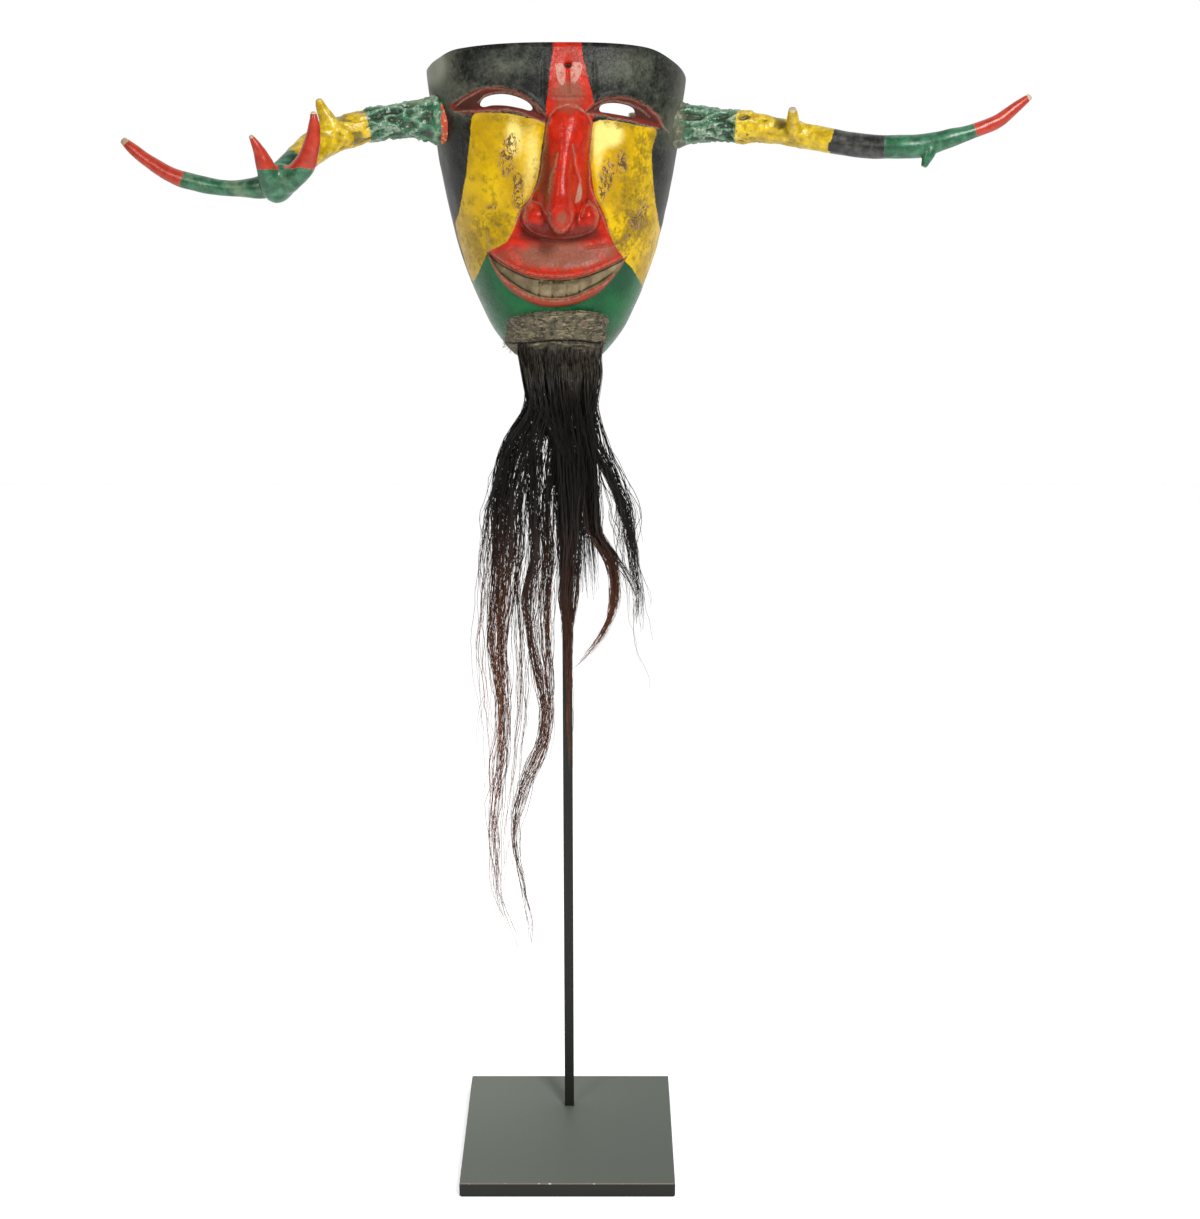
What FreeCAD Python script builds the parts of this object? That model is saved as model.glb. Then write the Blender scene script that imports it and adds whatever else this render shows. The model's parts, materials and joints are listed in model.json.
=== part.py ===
import FreeCAD, Part
import math
import os

# Horned wooden dance mask with a hair beard, on a steel display stand.  Millimetres, +Z up.
# The origin is the centre of the stand's underside; the mask looks towards -Y.

V = FreeCAD.Vector

# ---- driving dimensions of the stand ------------------------------------------------------
PLATE_SIDE = 178.0          # square base plate, 7 inches
PLATE_THICK = 11.2
PLATE_CHAMFER = 0.8
FELT_THICK = 1.5
FELT_INSET = 1.0            # the felt stops this far inside the plate's edge
ROD_SIDE = 8.0              # square upright
ROD_Y = 39.0                # its centre, behind the plate's centre
ROD_TOP = 858.0
ROD_SOCKET_DEPTH = 4.0
ROD_SOCKET_GAP = 0.1
SCREW_R = 2.5               # M5 countersunk screw up into the rod
SCREW_HEAD_R = 4.8
SCREW_HEAD_H = 2.6
SCREW_LENGTH = 22.0
SCREW_GAP = 0.05
ROD_HOLE_DEPTH = 20.0

# ---- where the mask hangs ------------------------------------------------------------------
# The mask has its own frame: x to the right, y backwards from the wearer's side of the rim,
# z up from eye height.  Everything on it is built there and then moved to the stand.
MASK_AT = V(-6.0, 28.0, 874.0)
MASK_YAW = 5.0
TO_STAND = FreeCAD.Placement(MASK_AT, FreeCAD.Rotation(V(0, 0, 1), MASK_YAW))

# ---- driving dimensions of the mask ----------------------------------------------------------
# Horizontal sections of the outside: height, half width at the rim, depth at the middle.
FACE_SECTIONS = [
    (-198.0, 26.0, 46.0), (-188.0, 37.0, 54.0), (-175.0, 48.0, 61.0), (-152.0, 60.0, 71.0),
    (-129.0, 69.5, 77.0), (-107.0, 76.5, 81.0), (-84.0, 82.0, 83.5), (-62.0, 86.5, 85.0),
    (-35.0, 91.0, 85.5), (0.0, 95.5, 87.5), (30.0, 96.5, 84.5), (64.0, 96.0, 75.0),
]
SIDE_POWER = 2.7            # how square the section's sides are
FRONT_POWER = 2.3           # how square its front is
SIDE_WALL = 11.0
FRONT_WALL = 13.0
HOLLOW_FLOOR = -184.0       # the chin is solid below this height
RIM_FRONT = (45.0, -88.0)   # top rim: height and y at the forehead
RIM_BACK_LEFT = 27.0        # and its heights at the two back corners
RIM_BACK_RIGHT = 15.0
RIM_WEAR = [(-130.0, 16.0), (-100.0, 6.0), (-87.0, 2.5), (-74.0, 0.0),   # how far the rim's corners
            (56.0, 0.0), (75.0, 2.3), (94.0, 6.0), (130.0, 16.0)]        # are rubbed down, by x
TIE_HOLE_R = 3.0            # hole in the forehead
TIE_HOLE_AT = (3.5, 30.0)
TEMPLE_HOLE_R = 2.5         # strap holes near the back rim
TEMPLE_HOLE_AT = (-10.0, -52.0)
SOCKET_DEPTH = 5.0          # how deep the eye sockets are carved

# ---- driving dimensions of the antlers ---------------------------------------------------------
ANTLER_Y = -32.0
TENON_R = 9.0
TENON_END = 52.0            # distance of the tenon's inner end from the mask's middle
TENON_GAP = 0.05
NAIL_R = 1.5
NAIL_LENGTH = 30.0
NAIL_AT = 74.0
FILLER_R = 16.8
FILLER_TIP_R = 13.2
FILLER_LENGTH = 20.0

# ---- hanger -----------------------------------------------------------------------------------
BAR_R = 3.0
BAR_HALF = 61.0             # half length of the crossbar
BAR_DROP = 17.0             # from the lower tenon's axis down to the crossbar's axis
SADDLE_AT = 57.0
SADDLE_WIDTH = 7.0
SADDLE_WALL = 2.0
SLEEVE_WALL = 1.5
REST_GAP = 0.3              # between the mask's pieces and the stand's

# ---- hide and beard ------------------------------------------------------------------------------
HIDE_THICK = 2.6
BAND_TOP = -154.0
BAND_BOTTOM = -177.0
BAND_LEFT = -42.0
BAND_RIGHT = 36.0
FLAP_LEFT = -37.0
FLAP_RIGHT = 32.0
FLAP_GAP = 1.6
FLAP_BOTTOM = -188.5
TACK_R = 0.8
TACK_HEAD_R = 2.2
TACK_LENGTH = 9.0
HAIR_Y = -64.0              # the hanging plane of the beard


def save(node, shape):
    shape.exportStep(os.path.join("parts", node + ".step"))


def on_stand(shape):
    moved = shape.copy()
    moved.Placement = TO_STAND.multiply(moved.Placement)
    return moved


def box(x0, x1, y0, y1, z0, z1):
    return Part.makeBox(x1 - x0, y1 - y0, z1 - z0, V(x0, y0, z0))


def rod(radius, start, end):
    along = end - start
    return Part.makeCylinder(radius, along.Length, start, along)


def polygon(points):
    return Part.makePolygon([V(*p) for p in points] + [V(*points[0])])


# ---- lofts ---------------------------------------------------------------------------------------
def face_section(z, half, depth, back=0.0):
    """Closed D-shaped wire: a superellipse in front, straight behind, y from -depth to back."""
    points = []
    steps = 16
    for i in range(steps + 1):
        turn = math.pi * (i / steps - 0.5)
        x = math.copysign(abs(math.sin(turn)) ** (2.0 / SIDE_POWER), turn) * half
        y = -abs(math.cos(turn)) ** (2.0 / FRONT_POWER) * depth
        points.append(V(x, y, z))
    front = Part.BSplineCurve()
    front.interpolate(points)
    edges = [front.toShape()]
    if back > 0:
        edges.append(Part.makeLine(V(half, 0, z), V(half, back, z)))
        edges.append(Part.makeLine(V(half, back, z), V(-half, back, z)))
        edges.append(Part.makeLine(V(-half, back, z), V(-half, 0, z)))
    else:
        edges.append(Part.makeLine(V(half, 0, z), V(-half, 0, z)))
    return Part.Wire(edges)


def face_solid(grow):
    """The outside of the face, grown by the given amount."""
    wires = [face_section(z, half + grow, depth + grow) for z, half, depth in FACE_SECTIONS]
    return Part.makeLoft(wires, True, False)


def hollow_solid():
    """The space for the wearer's face, open behind and above."""
    wires = []
    for z, half, depth in FACE_SECTIONS[1:]:
        level = HOLLOW_FLOOR if z == FACE_SECTIONS[1][0] else z
        wires.append(face_section(level, half - SIDE_WALL, depth - FRONT_WALL, 20.0))
    return Part.makeLoft(wires, True, False)


def tapered_rod(stations):
    """Smooth round bar through stations (x, y, z, radius)."""
    centres = [V(*s[:3]) for s in stations]
    seam = V(0.3, 0.9, 0.3)
    wires = []
    for i, (centre, station) in enumerate(zip(centres, stations)):
        along = centres[min(i + 1, len(centres) - 1)] - centres[max(i - 1, 0)]
        along.normalize()
        # every ring starts at the seam carried over from the last, so the skin does not twist
        seam = seam - along * seam.dot(along)
        ring = Part.Wire(Part.makeCircle(station[3]))
        ring.Placement = FreeCAD.Placement(centre, FreeCAD.Rotation(seam, V(), along, "ZXY"))
        wires.append(ring)
    return Part.makeLoft(wires, True, False)


# ---- stand ---------------------------------------------------------------------------------------
def make_stand():
    half = PLATE_SIDE / 2
    top = FELT_THICK + PLATE_THICK
    socket_floor = top - ROD_SOCKET_DEPTH
    axis_low = V(0, ROD_Y, FELT_THICK)

    felt_half = half - FELT_INSET
    save("base_felt", box(-felt_half, felt_half, -felt_half, felt_half, 0, FELT_THICK))

    plate = box(-half, half, -half, half, FELT_THICK, top)
    top_edges = [e for e in plate.Edges if e.BoundBox.ZMin > top - 0.01]
    plate = plate.makeChamfer(PLATE_CHAMFER, top_edges)
    reach = ROD_SIDE / 2 + ROD_SOCKET_GAP
    plate = plate.cut(box(-reach, reach, ROD_Y - reach, ROD_Y + reach, socket_floor, top + 1))
    plate = plate.cut(rod(SCREW_R + SCREW_GAP, axis_low, V(0, ROD_Y, top)))
    sink_r = SCREW_HEAD_R + SCREW_GAP
    plate = plate.cut(Part.makeCone(sink_r, SCREW_R + SCREW_GAP, SCREW_HEAD_H, axis_low))
    save("base_plate", plate)

    upright = box(-ROD_SIDE / 2, ROD_SIDE / 2, ROD_Y - ROD_SIDE / 2, ROD_Y + ROD_SIDE / 2,
                  socket_floor, ROD_TOP)
    tip_edges = [e for e in upright.Edges if e.BoundBox.ZMin > ROD_TOP - 0.01]
    upright = upright.makeChamfer(PLATE_CHAMFER, tip_edges)
    hole_top = V(0, ROD_Y, socket_floor + ROD_HOLE_DEPTH)
    upright = upright.cut(rod(SCREW_R + SCREW_GAP, V(0, ROD_Y, socket_floor), hole_top))
    save("stand_rod", upright)

    screw = Part.makeCone(SCREW_HEAD_R, SCREW_R, SCREW_HEAD_H, axis_low)
    screw = screw.fuse(rod(SCREW_R, axis_low, axis_low + V(0, 0, SCREW_LENGTH))).removeSplitter()
    save("rod_screw", screw)
    return upright


def make_hanger(upright, tenons):
    bar_z = min(t.z for t in tenons) - BAR_DROP
    bar = rod(BAR_R, V(-BAR_HALF, ANTLER_Y, bar_z), V(BAR_HALF, ANTLER_Y, bar_z))
    crossbar = on_stand(bar)
    save("hanger_crossbar", crossbar)

    bar_height = MASK_AT.z + bar_z
    arm = rod(BAR_R, V(0, ROD_Y, bar_height), V(0, ROD_Y - 75.0, bar_height))
    arm_front = on_stand(box(-100, 100, -200, ANTLER_Y, bar_z - 20, bar_z + 20))
    arm = arm.cut(crossbar).cut(upright).cut(arm_front)
    save("hanger_arm", biggest(arm))

    inner = TENON_R + REST_GAP
    for side, tenon in zip(("left", "right"), tenons):
        start = V(math.copysign(SADDLE_AT, tenon.x) - SADDLE_WIDTH / 2, ANTLER_Y, tenon.z)
        end = start + V(SADDLE_WIDTH, 0, 0)
        lower_half = box(start.x - 1, end.x + 1, ANTLER_Y - 30, ANTLER_Y + 30, tenon.z - 30, tenon.z)
        sleeve = rod(inner + SLEEVE_WALL, start, end).cut(rod(inner, start, end)).common(lower_half)
        save("saddle_sleeve_" + side, on_stand(sleeve))
        outer = inner + SLEEVE_WALL + SADDLE_WALL
        stem = box(start.x, end.x, ANTLER_Y - 3, ANTLER_Y + 3, bar_z, tenon.z - inner)
        cradle = rod(outer, start, end).fuse(stem).cut(rod(inner + SLEEVE_WALL, start, end))
        cradle = cradle.common(lower_half).cut(bar)
        save("saddle_" + side, on_stand(biggest(cradle)))

    pad = box(-ROD_SIDE / 2, ROD_SIDE / 2, 0, ROD_Y - ROD_SIDE / 2,
              MASK_AT.z + FACE_SECTIONS[0][0], MASK_AT.z + HOLLOW_FLOOR)
    pad = pad.cut(on_stand(box(-100, 100, -100, REST_GAP, -300, 0)))
    save("chin_pad", pad)


def biggest(shape):
    return max(shape.Solids, key=lambda s: s.Volume)


# ---- mask ----------------------------------------------------------------------------------------
def lens(left, right, rise, fall):
    """Almond prism through the face: its corners (x, z) and how far each edge bows off their line."""
    middle_x = (left[0] + right[0]) / 2
    middle_z = (left[1] + right[1]) / 2
    near = -200.0
    a = V(left[0], near, left[1])
    b = V(right[0], near, right[1])
    upper = Part.Arc(a, V(middle_x, near, middle_z + rise), b).toShape()
    lower = Part.Arc(b, V(middle_x, near, middle_z - fall), a).toShape()
    return Part.Face(Part.Wire([upper, lower])).extrude(V(0, 210.0, 0))


def roll(radius, left, middle, right):
    """Lip: a round bar bent along the arc through three points, with round ends."""
    path = Part.Wire(Part.Arc(V(*left), V(*middle), V(*right)).toShape())
    start = path.Edges[0].tangentAt(path.Edges[0].FirstParameter)
    ring = Part.Wire(Part.makeCircle(radius, V(*left), start))
    bar = path.makePipeShell([ring], True, True)
    return bar.fuse([Part.makeSphere(radius, V(*left)), Part.makeSphere(radius, V(*right))])


def nose():
    """Ridged wedge: sections (z, left, right, ridge x, ridge y) from the tip to the bridge."""
    sections = [
        (-91.0, -13.0, 8.0, -4.6, -111.0), (-82.0, -20.0, 17.0, -4.7, -121.5),
        (-65.0, -21.5, 19.5, -4.6, -121.0), (-44.0, -17.5, 18.0, -3.5, -113.0),
        (-16.0, -13.0, 18.0, -1.0, -101.0), (10.0, -4.0, 6.0, 1.5, -82.0),
    ]
    base_y = -70.0
    ridge = 3.0
    wires = []
    for z, left, right, x, y in sections:
        wires.append(polygon([(left, base_y, z), (right, base_y, z), (x + ridge, y, z), (x - ridge, y, z)]))
    wedge = Part.makeLoft(wires, True, True)
    wings = [Part.makeSphere(9.5, V(-23.5, -88.0, -81.0)), Part.makeSphere(9.0, V(17.5, -88.0, -81.0))]
    return wedge.fuse(wings)


def rim_cutter():
    """Everything above the slanted top rim with its rubbed corners."""
    top = 120.0
    ends = []
    half = FACE_SECTIONS[-2][1]
    lean = (RIM_BACK_LEFT - RIM_BACK_RIGHT) / (2 * half)
    middle = (RIM_BACK_LEFT + RIM_BACK_RIGHT) / 2
    front_z, front_y = RIM_FRONT
    for y in (-140.0, 40.0):
        back = (y - front_y) / -front_y
        rim = [(x, y, front_z + (middle - lean * x - front_z) * back - worn) for x, worn in RIM_WEAR]
        ends.append(polygon(rim + [(rim[-1][0], y, top), (rim[0][0], y, top)]))
    return Part.makeLoft(ends, True, True)


def make_shell(outside, tenons):
    shell = outside.fuse([nose(), roll(8.0, (-50, -68, -107), (-3, -82, -115), (44, -68, -107)),
                          roll(4.0, (-40, -70, -127), (-3, -80, -143), (35, -70, -127))])
    shell = shell.cut(hollow_solid()).cut(rim_cutter())

    skin = outside.cut(face_solid(-SOCKET_DEPTH))
    sockets = [((-82.0, -1.0), (-13.0, -10.0), 17.0, 0.5), ((17.0, -5.0), (73.0, -14.5), 15.5, -1.5)]
    slits = [((-60.5, 0.0), (-22.0, -4.0), 9.5, -1.6), ((25.0, -3.0), (54.0, -6.5), 6.2, 1.7)]
    for left, right, rise, fall in sockets:
        shell = shell.cut(lens(left, right, rise, fall).common(skin))
    for left, right, rise, fall in slits:
        shell = shell.cut(lens(left, right, rise, fall))

    hole_x, hole_z = TIE_HOLE_AT
    shell = shell.cut(rod(TIE_HOLE_R, V(hole_x, -120, hole_z), V(hole_x, -20, hole_z)))
    temple_y, temple_z = TEMPLE_HOLE_AT
    shell = shell.cut(rod(TEMPLE_HOLE_R, V(-120, temple_y, temple_z), V(120, temple_y, temple_z)))
    for tenon in tenons:
        shell = shell.cut(rod(TENON_R + TENON_GAP, V(0, tenon.y, tenon.z), V(tenon.x * 1.3, tenon.y, tenon.z)))
    return biggest(shell)


# ---- antlers: (x, y, z, radius) along the beam and along each tine ----------------------------------
LEFT_BEAM = [
    (-82, -32, -12, 12.6), (-108, -34, -12, 12.3), (-132, -37, -14, 11.5), (-156, -42, -19, 11.8),
    (-174, -50, -25, 12.6), (-188, -64, -35, 11.2), (-201, -79, -46, 10.4), (-215, -86, -55, 8.8),
    (-230, -84, -57, 6.5), (-247, -79, -57, 5.9), (-265, -73, -54, 6.0), (-282, -68, -49, 5.8),
    (-299, -62, -40, 4.9), (-311, -58, -31, 4.3), (-319, -55, -24, 2.7),
]
LEFT_TINES = [
    [(-203, -84, -53, 10.0), (-208, -95, -57, 9.2), (-214, -104, -44, 5.8), (-219, -108, -29, 3.5),
     (-223, -111, -18, 1.4)],
    [(-198, -84, -48, 9.0), (-199, -98, -51, 8.4), (-189, -106, -39, 6.7), (-182, -111, -25, 4.8),
     (-179, -114, -12, 3.3), (-178, -116, -2, 1.9)],
    [(-164, -49, -24, 9.0), (-170, -50, -13, 7.2), (-174.5, -51, -4, 4.4), (-177, -53, 4, 2.0)],
]
RIGHT_BEAM = [
    (84, -32, -16, 12.7), (116, -41, -16, 11.6), (139, -50, -17, 10.8), (157, -56, -19, 9.8),
    (171, -61, -21, 9.5), (185, -66, -24, 9.3), (202, -72, -27, 9.2), (224, -80, -30, 8.6),
    (246, -88, -30, 8.8), (263, -91, -29, 8.4), (280, -95, -24, 6.6), (297, -96, -19, 5.7),
    (315, -96, -12, 5.1), (329, -95, -2, 4.2), (340, -94, 6, 2.4),
]
RIGHT_TINES = [
    [(171, -61, -21, 7.5), (170, -70, -17, 5.9), (168, -78, -10, 4.4), (166, -86, -3, 3.0)],
    [(268, -93, -26, 6.5), (266, -96, -34, 5.0), (264, -97, -39, 3.7), (262, -98, -44, 2.4)],
]


def make_antler(side, beam, tines, tenon, outside):
    antler = tapered_rod(beam).fuse([tapered_rod(t) for t in tines])
    antler = biggest(antler.cut(outside))
    end = V(math.copysign(TENON_END, tenon.x), tenon.y, tenon.z)
    antler = antler.fuse(rod(TENON_R, end, tenon + V(math.copysign(12, tenon.x), 0, 0)))

    filler = Part.makeCone(FILLER_R, FILLER_TIP_R, FILLER_LENGTH, V(tenon.x * 0.93, tenon.y, tenon.z),
                           V(tenon.x, 0, 0))
    filler = filler.cut(outside).cut(antler)

    nail_x = math.copysign(NAIL_AT, tenon.x)
    low = V(nail_x, tenon.y, tenon.z - NAIL_LENGTH / 2)
    high = V(nail_x, tenon.y, tenon.z + NAIL_LENGTH / 2)
    antler = antler.cut(rod(NAIL_R + TENON_GAP, low, high))
    save("antler_" + side, on_stand(biggest(antler)))
    save("antler_filler_" + side, on_stand(biggest(filler)))
    save("antler_nail_" + side, on_stand(rod(NAIL_R, low, high)))


# ---- hide and beard ------------------------------------------------------------------------------
def hide_strip(grown, inner, left, right, bottom, top):
    """The part of the hide between two heights, lying on the inner shape."""
    strip = grown.common(box(left, right, -120, -20, bottom, top))
    return biggest(strip.cut(inner))


def front_depth(x, z):
    """Depth of the outside at (x, z), between two neighbouring sections."""
    for low, high in zip(FACE_SECTIONS, FACE_SECTIONS[1:]):
        if low[0] <= z <= high[0]:
            part = (z - low[0]) / (high[0] - low[0])
            half = low[1] + (high[1] - low[1]) * part
            depth = low[2] + (high[2] - low[2]) * part
            return depth * (1 - (abs(x) / half) ** SIDE_POWER) ** (1 / FRONT_POWER)
    return 0.0


def make_hide(outside):
    grown = face_solid(HIDE_THICK)
    band = hide_strip(grown, outside, BAND_LEFT, BAND_RIGHT, BAND_BOTTOM, BAND_TOP)
    save("hide_band", on_stand(band))

    tacks = []
    for x in (-38.0, -20.0, -3.0, 14.0, 32.0):
        z = BAND_TOP - 4.0
        face_y = -front_depth(x, z) - HIDE_THICK
        head = Part.makeCylinder(TACK_HEAD_R, 1.0, V(x, face_y - 1.0, z), V(0, 1, 0))
        shank = Part.makeCylinder(TACK_R, TACK_LENGTH, V(x, face_y - 0.5, z), V(0, 1, 0))
        tacks.append(head.fuse(shank).removeSplitter())
    save("band_tacks", on_stand(Part.makeCompound(tacks)))

    flap = hide_strip(grown, face_solid(REST_GAP), FLAP_LEFT, FLAP_RIGHT, FLAP_BOTTOM, BAND_BOTTOM - FLAP_GAP)
    save("hide_flap", on_stand(flap))


def make_hair():
    # Middle of the beard, as ellipses: z, left edge, right edge, half thickness.
    core = [
        (-189.0, -33, 28, 4), (-204, -32, 27, 8), (-223, -28, 25, 10), (-237, -25, 25, 11),
        (-256, -26, 28, 13), (-277, -32, 31, 14), (-309, -34, 30, 14), (-335, -25, 29, 11),
        (-350, -14, 27, 8), (-358, -8, 22, 5),
    ]
    wires = []
    for z, left, right, thick in core:
        centre = V((left + right) / 2, HAIR_Y, z)
        ring = Part.Ellipse(centre + V((right - left) / 2, 0, 0), centre + V(0, thick, 0), centre)
        wires.append(Part.Wire(ring.toShape()))
    middle = Part.makeLoft(wires, True, False)
    save("hair_core", on_stand(middle))

    # Locks that part from the middle, as stations x, z, radius; each starts inside it.
    locks = {
        "lock_left_outer": [
            (-21, -226, 2.5), (-33, -240, 3.5), (-41, -249, 4.5), (-50, -264, 6), (-54, -285, 6.5), (-56, -325, 6.5),
            (-61, -373, 6), (-62, -406, 6), (-57, -445, 6), (-52, -480, 5.5), (-53, -515, 5.5),
            (-58, -560, 5), (-58, -600, 4.5), (-54, -627, 3.5), (-45, -655, 2),
        ],
        "lock_left_inner": [
            (-16, -332, 3), (-23, -352, 4), (-24, -373, 5), (-22, -406, 5.5), (-17, -439, 5.5), (-15, -463, 5),
            (-19, -489, 5), (-28, -518, 5), (-37, -548, 4.5), (-42, -574, 4.5), (-40, -609, 4),
            (-34, -645, 2),
        ],
        "lock_middle": [(3, -346, 4), (2, -362, 5), (2, -385, 6), (2, -414, 5), (0, -450, 2)],
        "lock_right": [
            (21, -234, 2.5), (34, -252, 3.5), (41, -274, 5), (48, -293, 5.5), (53, -313, 5.5), (56, -341, 4.5),
            (58, -365, 3.5), (60, -385, 2),
        ],
        "lock_right_curl": [
            (24, -322, 3), (35, -338, 4), (39, -355, 4.5), (40, -375, 5), (37, -394, 5), (29, -410, 4.5),
            (18, -422, 4), (9, -430, 2),
        ],
    }
    for node, stations in locks.items():
        lock = tapered_rod([(x, HAIR_Y, z, r) for x, z, r in stations])
        save(node, on_stand(biggest(lock.cut(middle))))


def main():
    os.makedirs("parts", exist_ok=True)
    tenons = [V(LEFT_BEAM[0][0], ANTLER_Y, LEFT_BEAM[0][2]), V(RIGHT_BEAM[0][0], ANTLER_Y, RIGHT_BEAM[0][2])]
    outside = face_solid(0.0)
    upright = make_stand()
    make_hanger(upright, tenons)
    save("mask_shell", on_stand(make_shell(outside, tenons)))
    make_antler("left", LEFT_BEAM, LEFT_TINES, tenons[0], outside)
    make_antler("right", RIGHT_BEAM, RIGHT_TINES, tenons[1], outside)
    make_hide(outside)
    make_hair()


main()
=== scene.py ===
import bpy
import itertools
import json
import math
import numpy as np
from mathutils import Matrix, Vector


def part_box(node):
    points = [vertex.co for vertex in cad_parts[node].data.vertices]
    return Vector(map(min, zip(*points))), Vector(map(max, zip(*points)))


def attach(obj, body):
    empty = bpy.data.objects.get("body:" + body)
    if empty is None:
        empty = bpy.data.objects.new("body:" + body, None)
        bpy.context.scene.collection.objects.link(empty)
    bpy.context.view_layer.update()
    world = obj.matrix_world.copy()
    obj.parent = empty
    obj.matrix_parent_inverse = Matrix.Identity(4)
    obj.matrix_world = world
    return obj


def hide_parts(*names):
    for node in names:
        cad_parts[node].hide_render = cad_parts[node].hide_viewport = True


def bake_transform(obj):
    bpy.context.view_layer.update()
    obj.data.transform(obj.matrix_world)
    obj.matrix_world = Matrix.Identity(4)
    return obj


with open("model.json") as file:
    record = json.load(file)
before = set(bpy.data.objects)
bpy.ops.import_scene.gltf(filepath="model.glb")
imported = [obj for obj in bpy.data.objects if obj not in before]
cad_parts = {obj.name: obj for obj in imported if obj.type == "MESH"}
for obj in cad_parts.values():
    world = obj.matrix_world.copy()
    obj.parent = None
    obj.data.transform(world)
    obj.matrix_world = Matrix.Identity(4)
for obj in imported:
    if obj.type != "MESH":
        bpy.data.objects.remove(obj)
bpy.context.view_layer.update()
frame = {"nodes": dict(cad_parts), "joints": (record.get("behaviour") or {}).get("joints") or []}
MM = 0.001


# ---- the mask's own frame, from the joint that the beard swings on -----------
# x to the right, y backwards from the plane of the rim, z up from eye height; millimetres.
SWING = next(j for j in frame["joints"] if j["name"] == "beard_swing")
HINGE_AT = np.array([0.0, -63.0, -177.8])       # that joint in the mask's frame
ACROSS = -np.array(SWING["axis"])
UP = np.array([0.0, 0.0, 1.0])
TO_WORLD = np.column_stack([ACROSS, np.cross(UP, ACROSS), UP])
MASK_AT = np.array(SWING["pos_m"]) - TO_WORLD @ HINGE_AT * MM


def to_world(points):
    """Mask millimetres to row metres."""
    return np.asarray(points, float) @ TO_WORLD.T * MM + MASK_AT


def to_mask(points):
    """Row metres to mask millimetres."""
    return (np.asarray(points, float) - MASK_AT) @ TO_WORLD / MM


# ---- numbers -----------------------------------------------------------------
def ramp(value, low, high):
    """Smooth step from 0 at low to 1 at high; low may be the larger."""
    t = np.clip((value - low) / (high - low), 0, 1)
    return t * t * (3 - 2 * t)


def bell(value, width):
    """1 at zero, falling smoothly to almost nothing at twice the width."""
    return np.exp(-(value / width) ** 2)


def through(knots, value):
    """Smooth curve through (position, height) knots, level beyond its ends."""
    xs, ys = np.array(knots, float).T
    slopes = np.gradient(ys, xs)
    value = np.clip(value, xs[0], xs[-1])
    i = np.clip(np.searchsorted(xs, value) - 1, 0, len(xs) - 2)
    span = xs[i + 1] - xs[i]
    t = (value - xs[i]) / span
    return ((2 * t**3 - 3 * t**2 + 1) * ys[i] + (t**3 - 2 * t**2 + t) * span * slopes[i]
            + (3 * t**2 - 2 * t**3) * ys[i + 1] + (t**3 - t**2) * span * slopes[i + 1])


def lattice(cell, seed):
    """A repeatable random number from -1 to 1 at each whole-numbered place."""
    x, y, z = np.moveaxis(cell, -1, 0)
    h = (x * 374761393 + y * 668265263 + z * 1442695041 + seed * 1274126177) & 0xFFFFFFFF
    h = ((h ^ (h >> 13)) * 1274126177) & 0xFFFFFFFF
    return ((h ^ (h >> 16)) & 0xFFFF) / 32767.5 - 1.0


def noise(points, size, seed):
    """Smooth noise from -1 to 1 with lumps of about that size."""
    p = np.asarray(points, float) / size
    cell = np.floor(p).astype(np.int64)
    f = p - cell
    f = f * f * (3 - 2 * f)
    total = 0.0
    for corner in itertools.product((0, 1), repeat=3):
        total = total + np.where(corner, f, 1 - f).prod(-1) * lattice(cell + corner, seed)
    return total


def rough_noise(points, size, seed, octaves):
    return sum(noise(points, size / 2**k, seed + k) * 0.5**k for k in range(octaves))


def on_front(x, z):
    """Those places as points, to look noise up at."""
    return np.stack([x, np.zeros_like(x), z], -1)


def rounded(points, steps=5):
    """Closed outline through the points, with smooth corners."""
    p = np.array(points, float)
    before, after, later = np.roll(p, 1, 0), np.roll(p, -1, 0), np.roll(p, -2, 0)
    rows = []
    for t in np.arange(steps) / steps:
        rows.append(0.5 * (2 * p + (after - before) * t + (2 * before - 5 * p + 4 * after - later) * t**2
                           + (3 * p - before - 3 * after + later) * t**3))
    return np.stack(rows, 1).reshape(-1, 2)


def to_segment(x, z, start, end):
    """Distance to the straight line from start to end."""
    (ax, az), (bx, bz) = start, end
    ex, ez = bx - ax, bz - az
    t = np.clip(((x - ax) * ex + (z - az) * ez) / max(ex * ex + ez * ez, 1e-9), 0, 1)
    return np.hypot(x - ax - t * ex, z - az - t * ez)


def inside(outline, x, z):
    """Distance to the outline, positive inside it."""
    best = np.full(x.shape, 1e9)
    odd = np.zeros(x.shape, bool)
    for (ax, az), (bx, bz) in zip(outline, np.roll(outline, -1, 0)):
        best = np.minimum(best, to_segment(x, z, (ax, az), (bx, bz)))
        if az != bz:
            odd ^= ((az > z) != (bz > z)) & (x < (bx - ax) * (z - az) / (bz - az) + ax)
    return np.where(odd, best, -best)


# ---- meshes ------------------------------------------------------------------
def smooth_shaded(mesh):
    mesh.polygons.foreach_set("use_smooth", [True] * len(mesh.polygons))
    mesh.update()


def new_object(name, verts, faces):
    mesh = bpy.data.meshes.new(name)
    mesh.from_pydata([tuple(v) for v in verts], [], [tuple(f) for f in faces])
    smooth_shaded(mesh)
    obj = bpy.data.objects.new(name, mesh)
    bpy.context.scene.collection.objects.link(obj)
    return obj


def triples(rows, field):
    """That field of every row of mesh data, as an array of (x, y, z)."""
    flat = np.empty(len(rows) * 3)
    rows.foreach_get(field, flat)
    return flat.reshape(-1, 3)


def set_points(obj, points):
    obj.data.vertices.foreach_set("co", np.ascontiguousarray(points, float).ravel())
    obj.data.update()


def set_values(obj, **fields):
    """Stores numbers for each vertex, which the material reads."""
    for name, values in fields.items():
        attribute = obj.data.attributes.new(name, "FLOAT", "POINT")
        attribute.data.foreach_set("value", np.ascontiguousarray(values, np.float32))


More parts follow.
